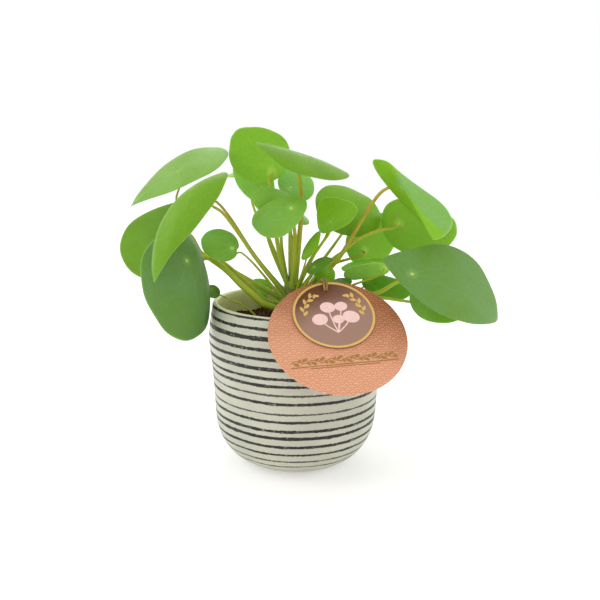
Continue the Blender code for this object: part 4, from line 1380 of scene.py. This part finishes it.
def loose_hairs(material):
    """Stands thin loose hairs on a surface, leaning at random."""
    tree = Shape("loose hairs", {"Density": "Float", "Length": "Float"})
    points = tree.node("GeometryNodeDistributePointsOnFaces", {
        "Mesh": tree.given["Geometry"], "Density": tree.given["Density"], "Seed": 5})
    hair = tree.add("GeometryNodeMeshCone", {
        "Vertices": 3, "Radius Top": 0.012, "Radius Bottom": 0.045, "Depth": 1.0})
    stance = tree.add("FunctionNodeRotateRotation", {
        0: Wire(tree, points.outputs["Rotation"]),
        1: tree.chance((-1.2, -1.2, -3.1), (1.2, 1.2, 3.1), 6)}, rotation_space="LOCAL")
    return tree.end(tree.add("GeometryNodeInstanceOnPoints", {
        "Points": Wire(tree, points.outputs["Points"]), "Instance": hair, "Rotation": stance,
        "Scale": tree.given["Length"]}), material)


class MONEYPLANT_OT_twine(bpy.types.Operator):
    """Twists the two-ply twine that holds the tag to the stem"""
    bl_idname = "moneyplant.twine"
    bl_label = "Twist the Twine"

    def execute(self, context):
        tag = context.scene.moneyplant_tag
        core = smooth_route(twine_points(), 0.55, closed=True)
        count = len(core)
        guide = Vector((0, 0, 1)).cross(core[1] - core[-1]).normalized()
        frames = []
        for index in range(count + 1):
            ahead = (core[(index + 1) % count] - core[index - 1 if index < count else -1]).normalized()
            guide = (guide - ahead * guide.dot(ahead)).normalized()
            frames.append((guide.copy(), ahead.cross(guide)))
        first, last = frames[0], frames[count]
        drift = atan2(last[0].dot(first[1]), last[0].dot(first[0]))
        length = sum((core[k] - core[k - 1]).length for k in range(count))
        twists = round(length * MM / tag.twine_pitch)
        routes = []
        marks = {"thick": []}
        dice = random.Random(8)
        for ply in (0.0, pi):
            route = []
            for index, point in enumerate(core):
                angle = ply + (2 * pi * twists - drift) * index / count
                aside, over = frames[index]
                route.append(point + (aside * cos(angle) + over * sin(angle)) * PLY_OFF)
                marks["thick"].append((PLY_RADIUS + 0.05 * dice.uniform(-1, 1)) * MM)
            routes.append((route, True))
        jute = twine_finish(tag)
        twine = grow(line_piece("twine", routes, marks), bars_along_lines(jute), {"Sides": 8})
        fuzz = link("twine_hairs", twine.data.copy())
        grow(fuzz, loose_hairs(jute), {"Density": tag.hair_density, "Length": 0.0013})
        settle(twine, "tag_twine", "tag_twine")
        settle(fuzz, "tag_twine")
        return {"FINISHED"}


# Stage

class MONEYPLANT_OT_stage(bpy.types.Operator):
    """Sets the pale floor, the soft lights and the camera"""
    bl_idname = "moneyplant.stage"
    bl_label = "Set the Stage"

    def execute(self, context):
        stage = context.scene.moneyplant_stage
        self.lay_floor()
        for name, place, size, power in (
                ("key_light", (-1.25, -0.20, 1.00), 1.1, stage.key),
                ("fill_light", (1.25, -0.05, 0.85), 1.2, 1.4 * stage.fill),
                ("back_light", (0.15, 1.10, 0.95), 1.2, stage.fill)):
            self.add_light(name, place, size, power)
        world = bpy.data.worlds.new("white_surround")
        world.use_nodes = True
        background = world.node_tree.nodes["Background"]
        background.inputs["Color"].default_value = (1.0, 1.0, 1.0, 1.0)
        background.inputs["Strength"].default_value = stage.surround
        context.scene.world = world
        context.scene.view_settings.view_transform = "Standard"
        self.set_camera(context.scene, stage)
        return {"FINISHED"}

    def lay_floor(self):
        tree = Finish("pale_floor")
        material = tree.end({
            "Base Color": tree.blend(tree.noise(6.0, 2.0), (0.66, 0.66, 0.66), (0.68, 0.68, 0.68)),
            "Roughness": 0.8,
            "Emission Color": (1.0, 1.0, 1.0),
            "Emission Strength": 0.36})
        reach = 2500.0
        corners = [Vector((x * reach, y * reach, -0.2)) for x, y in ((-1, -1), (1, -1), (1, 1), (-1, 1))]
        make_piece("floor", corners, [(0, 1, 2, 3)], material)

    def add_light(self, name, place, size, power):
        light = bpy.data.lights.new(name, "AREA")
        light.size = size
        light.energy = power
        lamp = link(name, light)
        lamp.location = place
        aim = Vector((0.0, 0.0, 0.14)) - Vector(place)
        lamp.rotation_euler = aim.to_track_quat("-Z", "Y").to_euler()

    def set_camera(self, scene, stage):
        """Looks at the plant's middle from the photograph's side, a little from above."""
        middle = Vector((0.00253, 0.0, 0.1262))
        right = Vector((1, 0, 0))
        back = Vector((0, -cos(stage.tilt), sin(stage.tilt)))
        up = back.cross(right)
        turned_right = right * cos(stage.roll) + up * sin(stage.roll)
        turned_up = up * cos(stage.roll) - right * sin(stage.roll)
        camera = bpy.data.cameras.new("camera")
        camera.lens = stage.lens
        camera.sensor_width = 36.0
        camera.clip_start = 0.01
        eye = link("camera", camera)
        turn = Matrix((turned_right, turned_up, back)).transposed()
        eye.matrix_world = Matrix.Translation(middle + back * stage.distance) @ turn.to_4x4()
        scene.camera = eye


# Panel, registration and the run

STEPS = ("stage", "pot", "soil", "stalks", "blades", "tag", "twine")
SETTINGS = {
    "moneyplant_pot": PotSettings,
    "moneyplant_soil": SoilSettings,
    "moneyplant_leaf": LeafSettings,
    "moneyplant_tag": TagSettings,
    "moneyplant_stage": StageSettings,
}


class MONEYPLANT_PT_panel(bpy.types.Panel):
    """Lists the settings and the steps in the order in which they run"""
    bl_idname = "MONEYPLANT_PT_panel"
    bl_label = "Money Plant"
    bl_space_type = "VIEW_3D"
    bl_region_type = "UI"
    bl_category = "Money Plant"

    def draw(self, context):
        for group, kind in SETTINGS.items():
            box = self.layout.box()
            settings = getattr(context.scene, group)
            for setting in kind.__annotations__:
                box.prop(settings, setting)
        for step in STEPS:
            self.layout.operator("moneyplant." + step)


CLASSES = (
    *SETTINGS.values(), MONEYPLANT_OT_pot, MONEYPLANT_OT_soil, MONEYPLANT_OT_stalks,
    MONEYPLANT_OT_blades, MONEYPLANT_OT_tag, MONEYPLANT_OT_twine, MONEYPLANT_OT_stage,
    MONEYPLANT_PT_panel,
)


def register():
    for kind in CLASSES:
        bpy.utils.register_class(kind)
    for group, kind in SETTINGS.items():
        setattr(bpy.types.Scene, group, PointerProperty(type=kind))


def unregister():
    for group in SETTINGS:
        delattr(bpy.types.Scene, group)
    for kind in reversed(CLASSES):
        bpy.utils.unregister_class(kind)


def main():
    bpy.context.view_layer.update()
    register()
    for step in STEPS:
        getattr(bpy.ops.moneyplant, step)()


if __name__ == "__main__":
    main()
